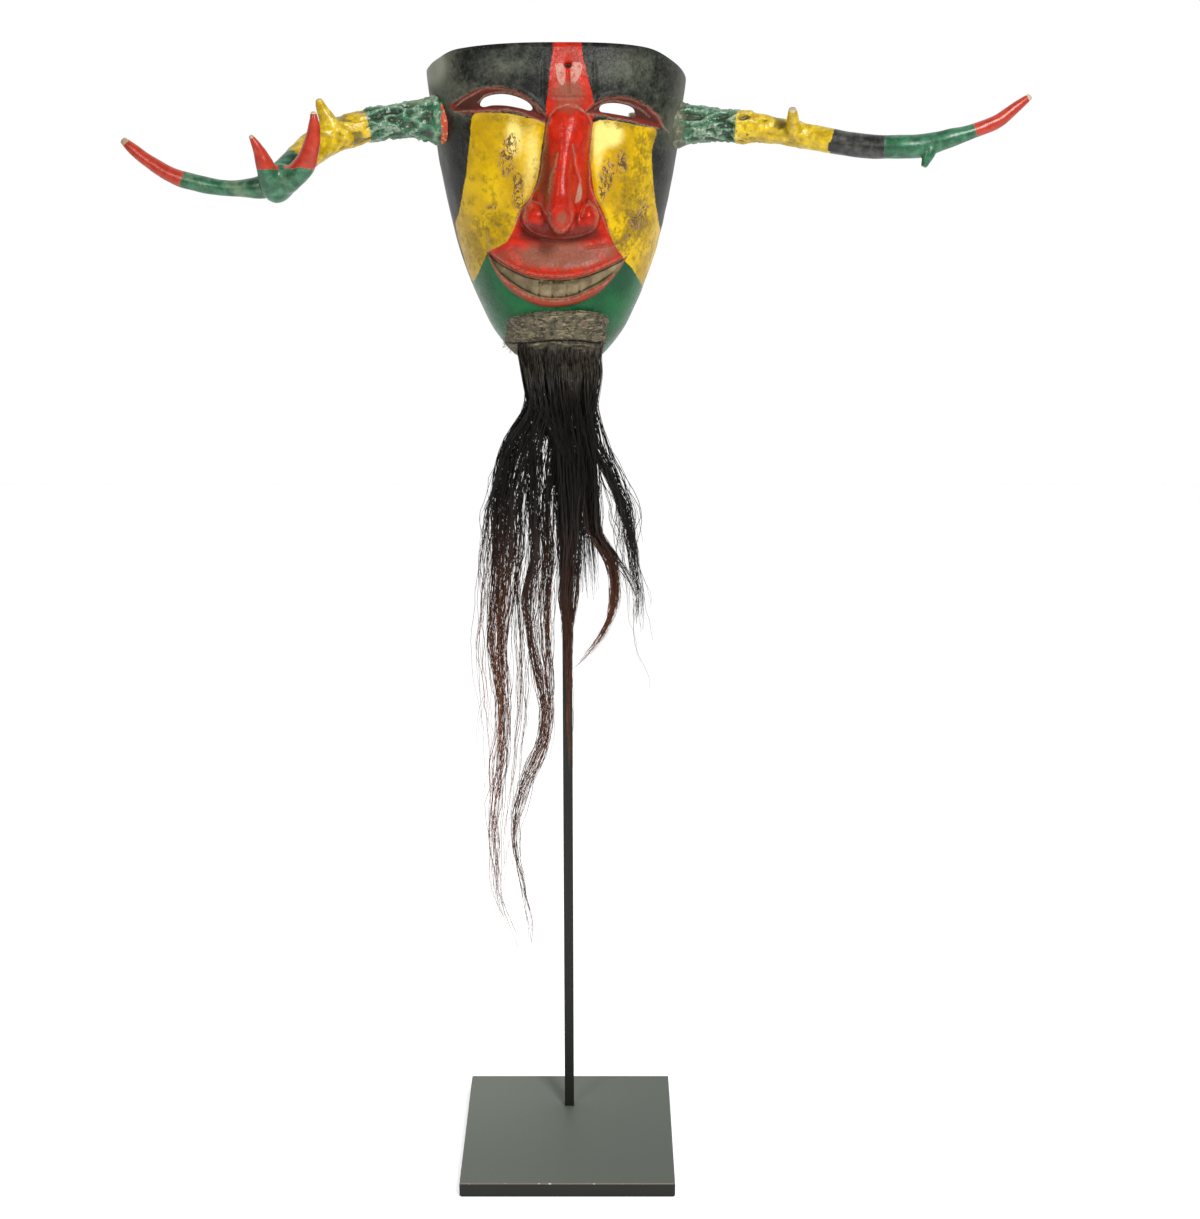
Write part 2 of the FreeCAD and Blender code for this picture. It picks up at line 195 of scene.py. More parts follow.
def apply_modifiers(obj):
    evaluated = obj.evaluated_get(bpy.context.evaluated_depsgraph_get())
    mesh = bpy.data.meshes.new_from_object(evaluated)
    obj.modifiers.clear()
    old = obj.data
    obj.data = mesh
    bpy.data.meshes.remove(old)


def joined(parts):
    """Several (points, faces) as one."""
    verts, faces, base = [], [], 0
    for part, part_faces in parts:
        verts.append(np.asarray(part, float))
        faces.extend(tuple(base + k for k in face) for face in part_faces)
        base += len(part)
    return np.concatenate(verts), faces


def grid_faces(rows, cols, wrap=False):
    """Quads of a grid of points, wrapped round to its first column or not."""
    r, c = np.meshgrid(np.arange(rows - 1), np.arange(cols if wrap else cols - 1), indexing="ij")
    a = r * cols + c
    b = r * cols + (c + 1) % cols
    return np.stack([a, b, b + cols, a + cols], -1).reshape(-1, 4)


def finish_piece(obj, body, slot, material, *nodes):
    obj.data.materials.clear()
    obj.data.materials.append(material)
    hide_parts(*nodes)
    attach(obj, body)


# ---- materials ---------------------------------------------------------------
class Signal:
    """A number or colour that varies over a surface; arithmetic on it adds nodes."""

    def __init__(self, paint, socket):
        self.paint = paint
        self.socket = socket

    def __add__(self, other):
        return self.paint.math("ADD", self, other)

    def __sub__(self, other):
        return self.paint.math("SUBTRACT", self, other)

    def __mul__(self, other):
        return self.paint.math("MULTIPLY", self, other)

    def __abs__(self):
        return self.paint.math("ABSOLUTE", self)


class Paint:
    """A node material, built from small expressions."""

    def __init__(self, name):
        self.material = bpy.data.materials.new(name)
        self.material.use_nodes = True
        self.tree = self.material.node_tree
        self.tree.nodes.clear()
        self.shader = self.node("BsdfPrincipled")
        self.tree.links.new(self.shader.outputs[0], self.node("OutputMaterial").inputs[0])
        self.place = Signal(self, self.node("TexCoord").outputs["Object"])

    def node(self, kind, **settings):
        node = self.tree.nodes.new("ShaderNode" + kind)
        for name, value in settings.items():
            setattr(node, name, value)
        return node

    def put(self, value, socket):
        if isinstance(value, Signal):
            self.tree.links.new(value.socket, socket)
        elif isinstance(value, tuple) and len(value) == 3 and len(socket.default_value) == 4:
            socket.default_value = (*value, 1.0)
        else:
            socket.default_value = value

    def fill(self, node, output, **inputs):
        """Sets or links the node's inputs, and gives that output."""
        for name, value in inputs.items():
            self.put(value, node.inputs[name.replace("_", " ")])
        return Signal(self, node.outputs[output])

    def set(self, **inputs):
        self.fill(self.shader, 0, **inputs)
        return self.material

    def value(self, name):
        return Signal(self, self.node("Attribute", attribute_name=name).outputs["Fac"])

    def axes(self):
        node = self.node("SeparateXYZ")
        self.put(self.place, node.inputs[0])
        return [Signal(self, output) for output in node.outputs]

    def stretched(self, x, y, z):
        return self.fill(self.node("Mapping"), 0, Vector=self.place, Scale=(x, y, z))

    def crooked(self, size_mm, shift_mm, stretch):
        """Stretched coordinates bent by noise, for cracks that are not regular."""
        bend = self.fill(self.node("TexNoise"), "Color", Scale=1.0 / (size_mm * MM), Vector=self.place)
        return self.math("MULTIPLY_ADD", bend, (shift_mm * MM,) * 3, self.stretched(*stretch), "VectorMath")

    def noise(self, size_mm, detail=3.0, rough=0.55, place=None, warp=0.0):
        return self.fill(self.node("TexNoise"), "Fac", Scale=1.0 / (size_mm * MM), Detail=detail,
                         Roughness=rough, Distortion=warp, Vector=place or self.place)

    def seams(self, size_mm, place):
        """Distance to the borders between irregular cells."""
        node = self.node("TexVoronoi", feature="DISTANCE_TO_EDGE")
        return self.fill(node, "Distance", Scale=1.0 / (size_mm * MM), Vector=place)

    def math(self, kind, a, b=0.0, c=0.0, node="Math"):
        node = self.node(node, operation=kind)
        for socket, value in zip(node.inputs, (a, b, c)):
            self.put(value, socket)
        return Signal(self, node.outputs[0])

    def step(self, value, low, high, out_low=0.0, out_high=1.0):
        node = self.node("MapRange", interpolation_type="SMOOTHSTEP")
        for socket, v in zip(node.inputs, (value, low, high, out_low, out_high)):
            self.put(v, socket)
        return Signal(self, node.outputs[0])

    def mix(self, share, a, b):
        node = self.node("Mix", data_type="RGBA")
        self.put(share, node.inputs["Factor"])
        colours = [socket for socket in node.inputs if socket.type == "RGBA"]
        self.put(a, colours[0])
        self.put(b, colours[1])
        return Signal(self, next(socket for socket in node.outputs if socket.type == "RGBA"))

    def fade(self, base, over, where, low, high, most=1.0):
        """The base, covered by the other colour as the signal goes from low to high."""
        return self.mix(self.step(where, low, high, 0.0, most), base, over)

    def bump(self, height, strength, depth_mm):
        return self.fill(self.node("Bump"), 0, Strength=strength, Distance=depth_mm * MM, Height=height)


# ---- camera, floor and light -------------------------------------------------
CAMERA_LENS, CAMERA_AT, CAMERA_DOWN = 59.45, (0.027, -1.550, 0.930), 16.20
FLOOR_HALF = 2.6


def link(name, data, at):
    obj = bpy.data.objects.new(name, data)
    obj.location = at
    bpy.context.scene.collection.objects.link(obj)
    return obj


def make_camera():
    camera = bpy.data.cameras.new("camera")
    camera.lens = CAMERA_LENS
    camera.sensor_width = 36.0
    eye = link("camera", camera, CAMERA_AT)
    eye.rotation_euler = (math.radians(90 - CAMERA_DOWN), 0, 0)
    bpy.context.scene.camera = eye


def make_floor():
    corners = [(-1, -1, 0), (1, -1, 0), (1, 1, 0), (-1, 1, 0)]
    floor = new_object("floor", np.array(corners) * FLOOR_HALF, [(0, 1, 2, 3)])
    paint = Paint("white_paper")
    tone = paint.mix(paint.noise(400.0, 2.0), (0.88, 0.88, 0.88), (0.90, 0.90, 0.895))
    floor.data.materials.append(paint.set(
        Base_Color=tone, Roughness=0.9, Specular_IOR_Level=0.1, Emission_Color=(1.0, 1.0, 1.0),
        Emission_Strength=0.5))


def make_world():
    """A white backdrop behind the object and a darker room in front of it."""
    world = bpy.data.worlds.new("studio")
    bpy.context.scene.world = world
    world.use_nodes = True
    tree = world.node_tree
    back = tree.nodes["Background"]
    back.inputs["Color"].default_value = (1, 1, 1, 1)
    axes = tree.nodes.new("ShaderNodeSeparateXYZ")
    tree.links.new(tree.nodes.new("ShaderNodeTexCoord").outputs["Generated"], axes.inputs[0])
    fade = tree.nodes.new("ShaderNodeMapRange")
    fade.interpolation_type = "SMOOTHSTEP"
    for socket, value in zip(fade.inputs[1:5], (-0.20, 0.45, 0.10, 1.0)):
        socket.default_value = value
    tree.links.new(axes.outputs["Y"], fade.inputs["Value"])
    tree.links.new(fade.outputs[0], back.inputs["Strength"])
    bpy.context.scene.view_settings.view_transform = "Standard"


def make_lamp(name, at, size, power):
    """A soft lamp that faces the mask."""
    data = bpy.data.lights.new(name, "AREA")
    data.shape = "RECTANGLE"
    data.size, data.size_y = size
    data.energy = power
    towards = Vector(MASK_AT + np.array([0, -0.06, -0.05])) - Vector(at)
    link(name, data, at).rotation_euler = towards.to_track_quat("-Z", "Y").to_euler()


# ---- the carved face ---------------------------------------------------------
# Horizontal sections of the outside: height, half width at the rim, depth at the middle.
FACE_SECTIONS = [
    (-198.0, 26.0, 46.0), (-188.0, 37.0, 54.0), (-175.0, 48.0, 61.0), (-152.0, 60.0, 71.0),
    (-129.0, 69.5, 77.0), (-107.0, 76.5, 81.0), (-84.0, 82.0, 83.5), (-62.0, 86.5, 85.0),
    (-35.0, 91.0, 85.5), (0.0, 95.5, 87.5), (30.0, 96.5, 84.5), (64.0, 96.0, 75.0),
]
SIDE_POWER, FRONT_POWER = 2.7, 2.3
SIDE_WALL, FRONT_WALL = 11.0, 13.0
HOLLOW_FLOOR, CHIN = -184.0, -198.0
RIM_FRONT_Z, RIM_FRONT_Y = 45.0, -88.0
RIM_BACK, RIM_LEAN = 21.0, 0.0625
SHELL_REACH = 88.0        # about the radius of a section at eye height
INSIDE_STEP = 3          # the hollow has one row and column for so many of the outside
# Holes through the wall.
ANTLER_Y = -32.0
ROOT_Z = {"left": -12.0, "right": -16.0}
SOCKET_R, STRAP_R = 9.05, 2.5
STRAP_HOLE = (-10.0, -52.0)
TIE_HOLE, TIE_R, TIE_SLANT = (2.9, 30.3), 3.0, 0.52

# Painted regions, as outlines (x, z) on the front.
YELLOW_LEFT = rounded([
    (-65, -6.5), (-68, -24), (-70.5, -45), (-73, -60), (-76.5, -79), (-79, -90), (-75, -107),
    (-66.5, -133), (-60, -116), (-55, -105.5), (-42.5, -97.5), (-36, -85.5), (-32, -73), (-26, -66),
    (-20, -52), (-17, -31), (-14.5, -12), (-26, -8.5), (-37, -6), (-50, -5)])
YELLOW_RIGHT = rounded([
    (68.5, -18), (65.5, -32), (66, -46), (67.5, -60), (70, -73), (74, -88), (77, -98), (72, -118),
    (64, -138), (52, -120), (44.5, -112), (38, -102), (34, -94), (29, -78), (22.5, -65), (20, -52),
    (18.5, -37), (19.5, -21), (21, -12), (30, -10), (43, -12), (57, -15)])
STRIPE = np.array([(-7.5, 55), (-8, 37), (-10.5, 25), (-11.5, 14), (-13, 3), (-14, -9), (21, -9), (21, 3),
                   (18.5, 13), (15.5, 25), (13, 36), (12.5, 55)], float)
RED_FACE = rounded([
    (-9, -4), (-14, -14), (-16.5, -35), (-20, -53), (-26, -66), (-32, -73), (-36, -85), (-42.5, -97.5),
    (-55, -105.8), (-49, -112), (-39.5, -117.5), (-27, -122.5), (-11, -125), (5, -124.5), (21, -120.8),
    (33, -116), (44, -111.2), (38, -102), (34, -94), (29, -78), (22.5, -65), (20, -52), (18.5, -37),
    (19.5, -21), (20, -10), (12, -3), (2, -1)])
GREEN_TOP = [
    (-110, -158), (-75, -144), (-66.5, -133), (-60, -116), (-55, -105.5), (44.5, -112), (52, -120),
    (64, -138), (74, -150), (110, -166)]
EYE_LEFT = rounded([
    (-82, -2), (-74, 4.5), (-63, 10.8), (-49, 13), (-36.5, 11), (-26, 5.8), (-18, -1.8), (-12, -8.5),
    (-15, -11.5), (-20, -9.6), (-29, -6), (-41.5, -3.8), (-57, -4.6), (-72, -6)])
EYE_RIGHT = rounded([
    (15.5, -5), (21, 1.3), (29, 5), (40, 6.4), (51, 4), (61.5, -1), (69.5, -7.5), (74, -15), (70, -16.5),
    (60, -13.8), (48, -11), (37, -8.8), (25.5, -6.8)])
SLIT_LEFT = rounded([
    (-60.3, 0.5), (-57.5, 5), (-50, 7.6), (-41, 7.8), (-32, 5.4), (-25.5, 1.8), (-22.5, -2),
    (-24.5, -3.8), (-31, -2.2), (-41.5, -0.4), (-51, -0.3), (-57.5, -1.6)])
SLIT_RIGHT = rounded([
    (25.5, -1.6), (28.5, 0.9), (36.5, 1.6), (46, -0.2), (51.5, -2.8), (53, -6), (52, -9), (43, -7.6),
    (33.5, -5.9), (26.5, -4.6)])
LIP_EDGE = [
    (-58, -104), (-49, -112.2), (-39.5, -117.3), (-27, -122.6), (-11, -124.8), (5, -124.4), (21, -120.6),
    (32.5, -116.2), (44, -111), (50, -107)]
MOUTH_EDGE = [
    (-58, -104), (-54, -111), (-50.3, -118.5), (-42.5, -126.2), (-33, -133), (-20, -138.7),
    (-7.5, -140.3), (5.5, -138.8), (18.5, -133.4), (31.5, -126.4), (40, -119.4), (44.5, -113.2),
    (50, -105)]
LIP_BELOW = [
    (-58, -104), (-53, -116), (-47, -126.6), (-39.3, -134.4), (-30, -140.6), (-17, -145.4), (-7, -146.2),
    (5.6, -144.7), (18.6, -140), (30, -132.5), (39, -122), (46, -112), (50, -105)]
# The nose: for each height, how far it stands out, its middle line and its half widths.
NOSE_HEIGHT = [
    (-99, 0), (-96.5, 1), (-94.5, 7), (-92, 13), (-90, 22), (-88.5, 30), (-86, 35), (-80, 37), (-70, 36),
    (-60, 33), (-48, 28.5), (-35, 23.5), (-20, 17), (-11, 12.5), (-5, 9), (-1, 4), (1.5, 0)]
NOSE_MIDDLE = [(-95, -4.6), (-63, -4.5), (-35, -2.0), (-16, 1.2), (0, 2.0)]
# The two wings of the nose and its base under the tip: x, z, half width, half height and how far out.
NOSE_DOMES = (
    (-21.5, -79.0, 10.6, 12.0, 18.0), (16.0, -79.5, 9.8, 12.0, 17.0), (-2.8, -84.0, 27.5, 11.4, 17.5))
NOSE_LEFT = [
    (-96, 13), (-85, 17), (-66, 19), (-52, 16.5), (-37, 15), (-21, 16), (-11, 15.5), (-4, 10.5), (1, 7)]
NOSE_RIGHT = [
    (-96, 13), (-85, 17), (-66, 22), (-52, 21.5), (-37, 20.5), (-21, 18.5), (-11, 17), (-4, 12), (1, 7)]
NOSE_CORE = [
    (-96, 4), (-90, 5), (-86, 8), (-81, 11.5), (-75, 13.6), (-63, 12.5), (-48, 10), (-35, 9.5),
    (-20, 10.5), (-8, 10.5), (1, 7)]
# The middle line and half width of the mouth, its row of teeth and the blocks above them.
MOUTH_MIDDLE, MOUTH_HALF = -5.5, 51.5
TEETH_FROM, TEETH_TO = -57, 49
TOOTH_GAPS = ((-18.6, -127.0), (-8.4, -126.0), (2.0, -128.0), (11.4, -130.0))
TOOTH_BLOCKS = (-14.8, -4.0, 7.4)


class Sheet:
    """A fine table of a value over the front of the face, read between its points."""

    x_low, z_low, pitch = -104.0, -204.0, 0.5
    columns, rows = 417, 521

    @classmethod
    def grid(cls):
        x = cls.x_low + cls.pitch * np.arange(cls.columns)
        z = cls.z_low + cls.pitch * np.arange(cls.rows)
        return np.meshgrid(x, z)

    def __init__(self, table):
        self.table = table

    def at(self, x, z):
        c = np.clip((x - self.x_low) / self.pitch, 0, self.columns - 1.001)
        r = np.clip((z - self.z_low) / self.pitch, 0, self.rows - 1.001)
        ci, ri = c.astype(int), r.astype(int)
        c, r = c - ci, r - ri
        t = self.table
        return ((t[ri, ci] * (1 - c) + t[ri, ci + 1] * c) * (1 - r)
                + (t[ri + 1, ci] * (1 - c) + t[ri + 1, ci + 1] * c) * r)


def blurred(table, width):
    """Gaussian blur; width in table steps."""
    reach = int(width * 3)
    kernel = np.exp(-0.5 * (np.arange(-reach, reach + 1) / width) ** 2)
    kernel /= kernel.sum()

    def blur_line(line):
        return np.convolve(np.pad(line, reach, "edge"), kernel, "valid")

    for axis in (0, 1):
        table = np.apply_along_axis(blur_line, axis, table)
    return table


def half_width(z):
    return through([(height, half) for height, half, _ in FACE_SECTIONS], z)


def depth(z):
    return through([(height, deep) for height, _, deep in FACE_SECTIONS], z)


def melt(a, b, soft):
    """The higher of two heights, with a rounded join."""
    return soft * (np.logaddexp(a / soft, b / soft) - math.log(2))


def nose_relief(x, z):
    height = through(NOSE_HEIGHT, z)
    t = x - through(NOSE_MIDDLE, z)
    wide = np.where(t < 0, through(NOSE_LEFT, z), through(NOSE_RIGHT, z))
    skirt = 0.70 * height * np.clip(1 - np.abs(t / wide) ** 2.2, 0, 1) ** 0.75
    # near the bridge the whole width is one rounded bar
    bridge = 0.95 * height * np.clip(1 - np.abs(t / wide) ** 2.6, 0, 1) ** 0.5
    skirt = skirt + (bridge - skirt) * ramp(z, -42, -12)
    core = height * np.clip(1 - np.abs(t / through(NOSE_CORE, z)) ** 2.4, 0, 1) ** 0.5
    nose = np.clip(melt(skirt, core, 1.6), 0, None) * ramp(height, 0, 1.0)
    for cx, cz, rx, rz, out in NOSE_DOMES:
        dome = out * np.sqrt(np.clip(1 - ((x - cx) / rx) ** 2 - ((z - cz) / rz) ** 2, 0, 1))
        nose = np.clip(melt(nose, dome, 1.0), 0, None)
    # worn flat at the tip, and two whittled grooves down the front
    facet = np.hypot((x + 4.6) / 8.2, (z + 77.5) / 9.5)
    nose = nose - 1.3 * ramp(facet, 1.0, 0.75)
    for side, bend in ((-1, 0.24), (1, 0.20)):
        line = x - (-2.0 + side * (5.5 + bend * (-30 - z)))
        nose = nose - 0.9 * bell(line, 1.1) * ramp(z, -66, -56) * ramp(z, -28, -36)
    return nose


def mouth_relief(x, z):
    top, low, under = through(LIP_EDGE, x), through(MOUTH_EDGE, x), through(LIP_BELOW, x)
    taper = np.sqrt(np.clip(1 - ((x - MOUTH_MIDDLE) / MOUTH_HALF) ** 2, 0, 1))
    above = z - top
    lip = 10.5 * ramp(above, -1.0, 4.2) ** 0.6 * (1 - 0.85 * ramp(above, 3, 27)) * taper
    lip = np.where(above > 27, lip * ramp(above, 36, 27), lip)
    opening = ramp(top - z, 0.2, 1.6) * ramp(z - low, -0.4, 1.2)
    ridge = 3.0 * ramp(low - z, -0.9, 1.0) * ramp(z - under, -1.0, 2.4) * np.clip(taper * 1.5, 0, 1)
    shape = lip - 4.5 * opening * taper + ridge
    # a row of whittled teeth in the middle
    shape = shape + 1.6 * opening * ramp(x, -26, -19) * ramp(x, 19, 12)
    for cx, high in TOOTH_GAPS:
        gap = bell(x - cx - 0.06 * (z + 133), 0.8) * ramp(z, high + 1, high - 1)
        shape = shape - 1.2 * gap * opening
    # three small blocks above, undercut by short notches
    for cx in TOOTH_BLOCKS:
        aside = np.abs(x - cx)
        shape = shape + 0.9 * ramp(aside, 3.6, 2.6) * ramp(z, -127.2, -126.2) * opening
        shape = shape - 1.1 * ramp(aside, 4.2, 3.2) * bell(z + 128.0, 0.8)
    return shape


def eye_relief(x, z):
    shape = 0.0
    for outline in (EYE_LEFT, EYE_RIGHT):
        d = inside(outline, x, z)
        shape = shape - 5.2 * (1 - np.exp(-np.clip(d, 0, None) / 2.4)) + 0.9 * bell(d + 1.6, 1.5)
    return shape


def face_relief(x, z):
    """How far the carving stands out from the plain shell."""
    points = on_front(x, z)
    cheeks = 3.6 * bell(x + 46, 26) * bell(z + 42, 40) + 3.6 * bell(x - 45, 26) * bell(z + 46, 40)
    brow = 1.5 * bell(z - 16, 14) * bell(x, 70)
    red = inside(RED_FACE, x, z)
    fold = 2.2 * ramp(red, -0.6, 2.5) * ramp(z, -60, -72) * ramp(z, -118, -100)
    crease = 1.6 * bell(red, 1.5) * ramp(z, -125, -112) * ramp(z, -2, -8)
    shape = cheeks + brow - fold - crease + nose_relief(x, z) + mouth_relief(x, z) + eye_relief(x, z)
    # whittled facets on the forehead either side of the stripe, and its cracks
    for cx, lean in ((-15.8, 0.02), (22.5, -0.03)):
        shape = shape - 1.1 * bell(x - cx - lean * z, 1.4) * ramp(z, 2, 8) * ramp(z, 34, 26)
    crack = bell(x - 2.6 - 0.5 * noise(points, 5.0, 3), 0.55) * ramp(z, 6, 9) * ramp(z, 30, 26)
    crack = crack + bell(z - 5.5 - 1.2 * noise(points, 6.0, 5), 0.5) * ramp(x, -10, -6) * ramp(x, 17, 13)
    crack = crack + bell(z + 100.3 - 0.1 * (x - 31), 0.5) * ramp(x, 12, 18) * ramp(x, 50, 46)
    pit = bell(np.hypot(x - 47.0, z + 95.0), 1.2) + 0.6 * bell(np.hypot(x - 13.0, z - 10.0), 0.9)
    worn = rough_noise(points, 26.0, 11, 3) * 0.55 + rough_noise(points, 6.0, 17, 2) * 0.14
    return shape - 1.6 * crack - 1.5 * pit + worn


def shell_point(turn, z, side_inset, front_inset):
    """Points on a section of the shell at the angle turn, and their outward normals."""
    a, d = half_width(z) - side_inset, depth(z) - front_inset
    x = np.sign(turn) * np.abs(np.sin(turn)) ** (2 / SIDE_POWER) * a
    y = -np.abs(np.cos(turn)) ** (2 / FRONT_POWER) * d
    nx = np.sign(x) * (np.abs(x) / a) ** (SIDE_POWER - 1) / a
    ny = -(np.abs(y) / d) ** (FRONT_POWER - 1) / d
    length = np.hypot(nx, ny) + 1e-9
    return x, y, nx / length, ny / length


def rim_height(x, y):
    back = 1 - np.clip(y / RIM_FRONT_Y, 0, 1)
    rubbed_round = 6.0 * ramp(x, 56, 94) ** 1.4 + 6.0 * ramp(-x, 74, 100) ** 1.3
    return RIM_FRONT_Z + (RIM_BACK - RIM_LEAN * x - RIM_FRONT_Z) * back - rubbed_round


def mask_surface(turns, levels, side_inset, front_inset):
    """Grid of shell points; above eye height the rows close up towards the slanted rim."""
    turn, z = np.meshgrid(turns, levels)
    x, y, _, _ = shell_point(turn, np.minimum(z, 30.0), side_inset, front_inset)
    z = np.where(z > 0, z * rim_height(x, y) / RIM_FRONT_Z, z)
    x, y, nx, ny = shell_point(turn, z, side_inset, front_inset)
    return x, y, z, nx, ny


def even_turns(count):
    """Angles round a section, closest together over the nose."""
    fine = np.linspace(-math.pi / 2, math.pi / 2, 4001)
    x, y, _, _ = shell_point(fine, np.full_like(fine, -60.0), 0, 0)
    step = np.hypot(np.diff(x), np.diff(y))
    at = np.abs((x[1:] + x[:-1]) / 2)
    pitch = 0.55 + 0.25 * ramp(at, 28, 40) + 0.75 * ramp(at, 70, 88)
    travel = np.concatenate([[0], np.cumsum(step / pitch)])
    return np.interp(np.linspace(0, travel[-1], count), travel, fine)


def shell_grids(relief):
    """Points of the outside and the inside by height and angle, and where the hollow starts."""
    turns = even_turns(INSIDE_STEP * 100 + 1)
    levels = np.concatenate([np.linspace(CHIN, -150, 37)[:-1], np.linspace(-150, 20, 221)[:-1],
                             np.linspace(20, RIM_FRONT_Z, 20)])
    levels = levels[: (len(levels) - 1) // INSIDE_STEP * INSIDE_STEP + 1]
    levels[-1] = RIM_FRONT_Z
    x, y, z, nx, ny = mask_surface(turns, levels, 0, 0)
    # carving on the front goes straight forward, wear on the sides goes along the normal
    forward = ramp(np.abs(x), 70, 56)
    aside = 1 - forward
    wear = rough_noise(np.stack([x, y, z], -1), 22.0, 23, 2) * 0.5 * aside * ramp(-y, 0, 10)
    swell = 1.6 * bell(z - 22, 16) - 2.6 * ramp(z, RIM_FRONT_Z - 9, RIM_FRONT_Z) * ramp(-y, 62, 20)
    out = relief.at(x, z) * (forward + aside * 0.5) * ramp(-y, 4, 22) + wear + swell * aside
    outer = np.stack([x + nx * out * aside, y + out * (ny * aside - forward), z], -1)

    shared = levels[::INSIDE_STEP]
    first = int(np.argmax(shared >= HOLLOW_FLOOR))
    x, y, z, nx, ny = mask_surface(turns[::INSIDE_STEP], shared[first:], SIDE_WALL, FRONT_WALL)
    gouges = rough_noise(np.stack([x, y, z * 0.6], -1), 13.0, 31, 2) * 0.7 * ramp(-y, 0, 8)
    inner = np.stack([x - nx * gouges, y - ny * gouges, z], -1)
    return outer, inner, first * INSIDE_STEP


def make_mask(relief):
    outer, inner, low = shell_grids(relief)
    (rows, cols), (rows_in, cols_in) = outer.shape[:2], inner.shape[:2]
    base = rows * cols
    faces = [tuple(f) for f in grid_faces(rows, cols)]
    faces += [tuple(base + f[::-1]) for f in grid_faces(rows_in, cols_in)]

    def o(r, c):
        return r * cols + c

    def i(r, c):
        return base + r * cols_in + c

    steps = range(INSIDE_STEP + 1)
    for k in range(cols_in - 1):     # the top rim
        edge = [o(rows - 1, k * INSIDE_STEP + s) for s in steps]
        faces.append((i(rows_in - 1, k + 1), i(rows_in - 1, k), *edge))
    for k in range(rows_in - 1):     # the two back rims
        for c, ci in ((0, 0), (cols - 1, cols_in - 1)):
            edge = [o(low + k * INSIDE_STEP + s, c) for s in steps]
            ring = (i(k + 1, ci), i(k, ci), *edge)
            faces.append(ring if c == 0 else ring[::-1])
    # the solid chin: its back below the hollow, the hollow's floor and the underside
    left = [o(r, 0) for r in range(low, -1, -1)]
    right = [o(r, cols - 1) for r in range(low + 1)]
    faces.append((*left, *right, i(0, cols_in - 1), i(0, 0)))
    faces.append(tuple(i(0, c) for c in range(cols_in)))
    faces.append(tuple(o(0, c) for c in range(cols)))
    verts = np.concatenate([outer.reshape(-1, 3), inner.reshape(-1, 3)])
    return new_object("carved_face", to_world(verts), faces)


def prism(outline, near, far, drop=0.0):
    """Closed prism through the face, from y = near to y = far, its far end lower by drop."""
    x, z = np.array(outline).T
    if np.sum(x * np.roll(z, -1) - z * np.roll(x, -1)) < 0:
        outline = outline[::-1]
    count = len(outline)
    verts = [(x, near, z) for x, z in outline] + [(x, far, z - drop) for x, z in outline]
    faces = [tuple(range(count)), tuple(range(2 * count - 1, count - 1, -1))]
    faces += [(k, k + count, (k + 1) % count + count, (k + 1) % count) for k in range(count)]
    return verts, faces


def circle(cx, cz, radius, count=24):
    turns = np.arange(count) * 2 * math.pi / count
    return [(cx + radius * math.cos(a), cz + radius * math.sin(a)) for a in turns]


def cut_openings(mask):
    """The eye slits, the tie hole, the strap holes and the two antler sockets."""
    # the tie hole is burnt through on a slant, so that nothing shows through it from in front
    tie = circle(TIE_HOLE[0], TIE_HOLE[1] + TIE_SLANT * 32, TIE_R)
    tools = [prism(SLIT_LEFT, -120, -30), prism(SLIT_RIGHT, -120, -30), prism(tie, -120, -50, TIE_SLANT * 70)]
    for sign, side in ((-1, "left"), (1, "right")):
        for radius, cy, cz in ((SOCKET_R, ANTLER_Y, ROOT_Z[side]), (STRAP_R, *STRAP_HOLE)):
            ring, faces = prism(circle(cy, cz, radius, 40), 55.0 * sign, 115.0 * sign)
            tools.append(([(x, y, z) for y, x, z in ring], faces))
    verts, faces = joined(tools)
    cutter = new_object("cutter", to_world(verts), faces)
    solve = mask.modifiers.new("cut", "BOOLEAN")
    solve.object = cutter
    solve.solver = "EXACT"
    apply_modifiers(mask)
    bpy.data.objects.remove(cutter)


def spots(x, z, places):
    """Sum of soft spots, each x, z, half width, half height, strength."""
    return sum(s * np.exp(-((x - cx) / w) ** 2 - ((z - cz) / h) ** 2) for cx, cz, w, h, s in places)


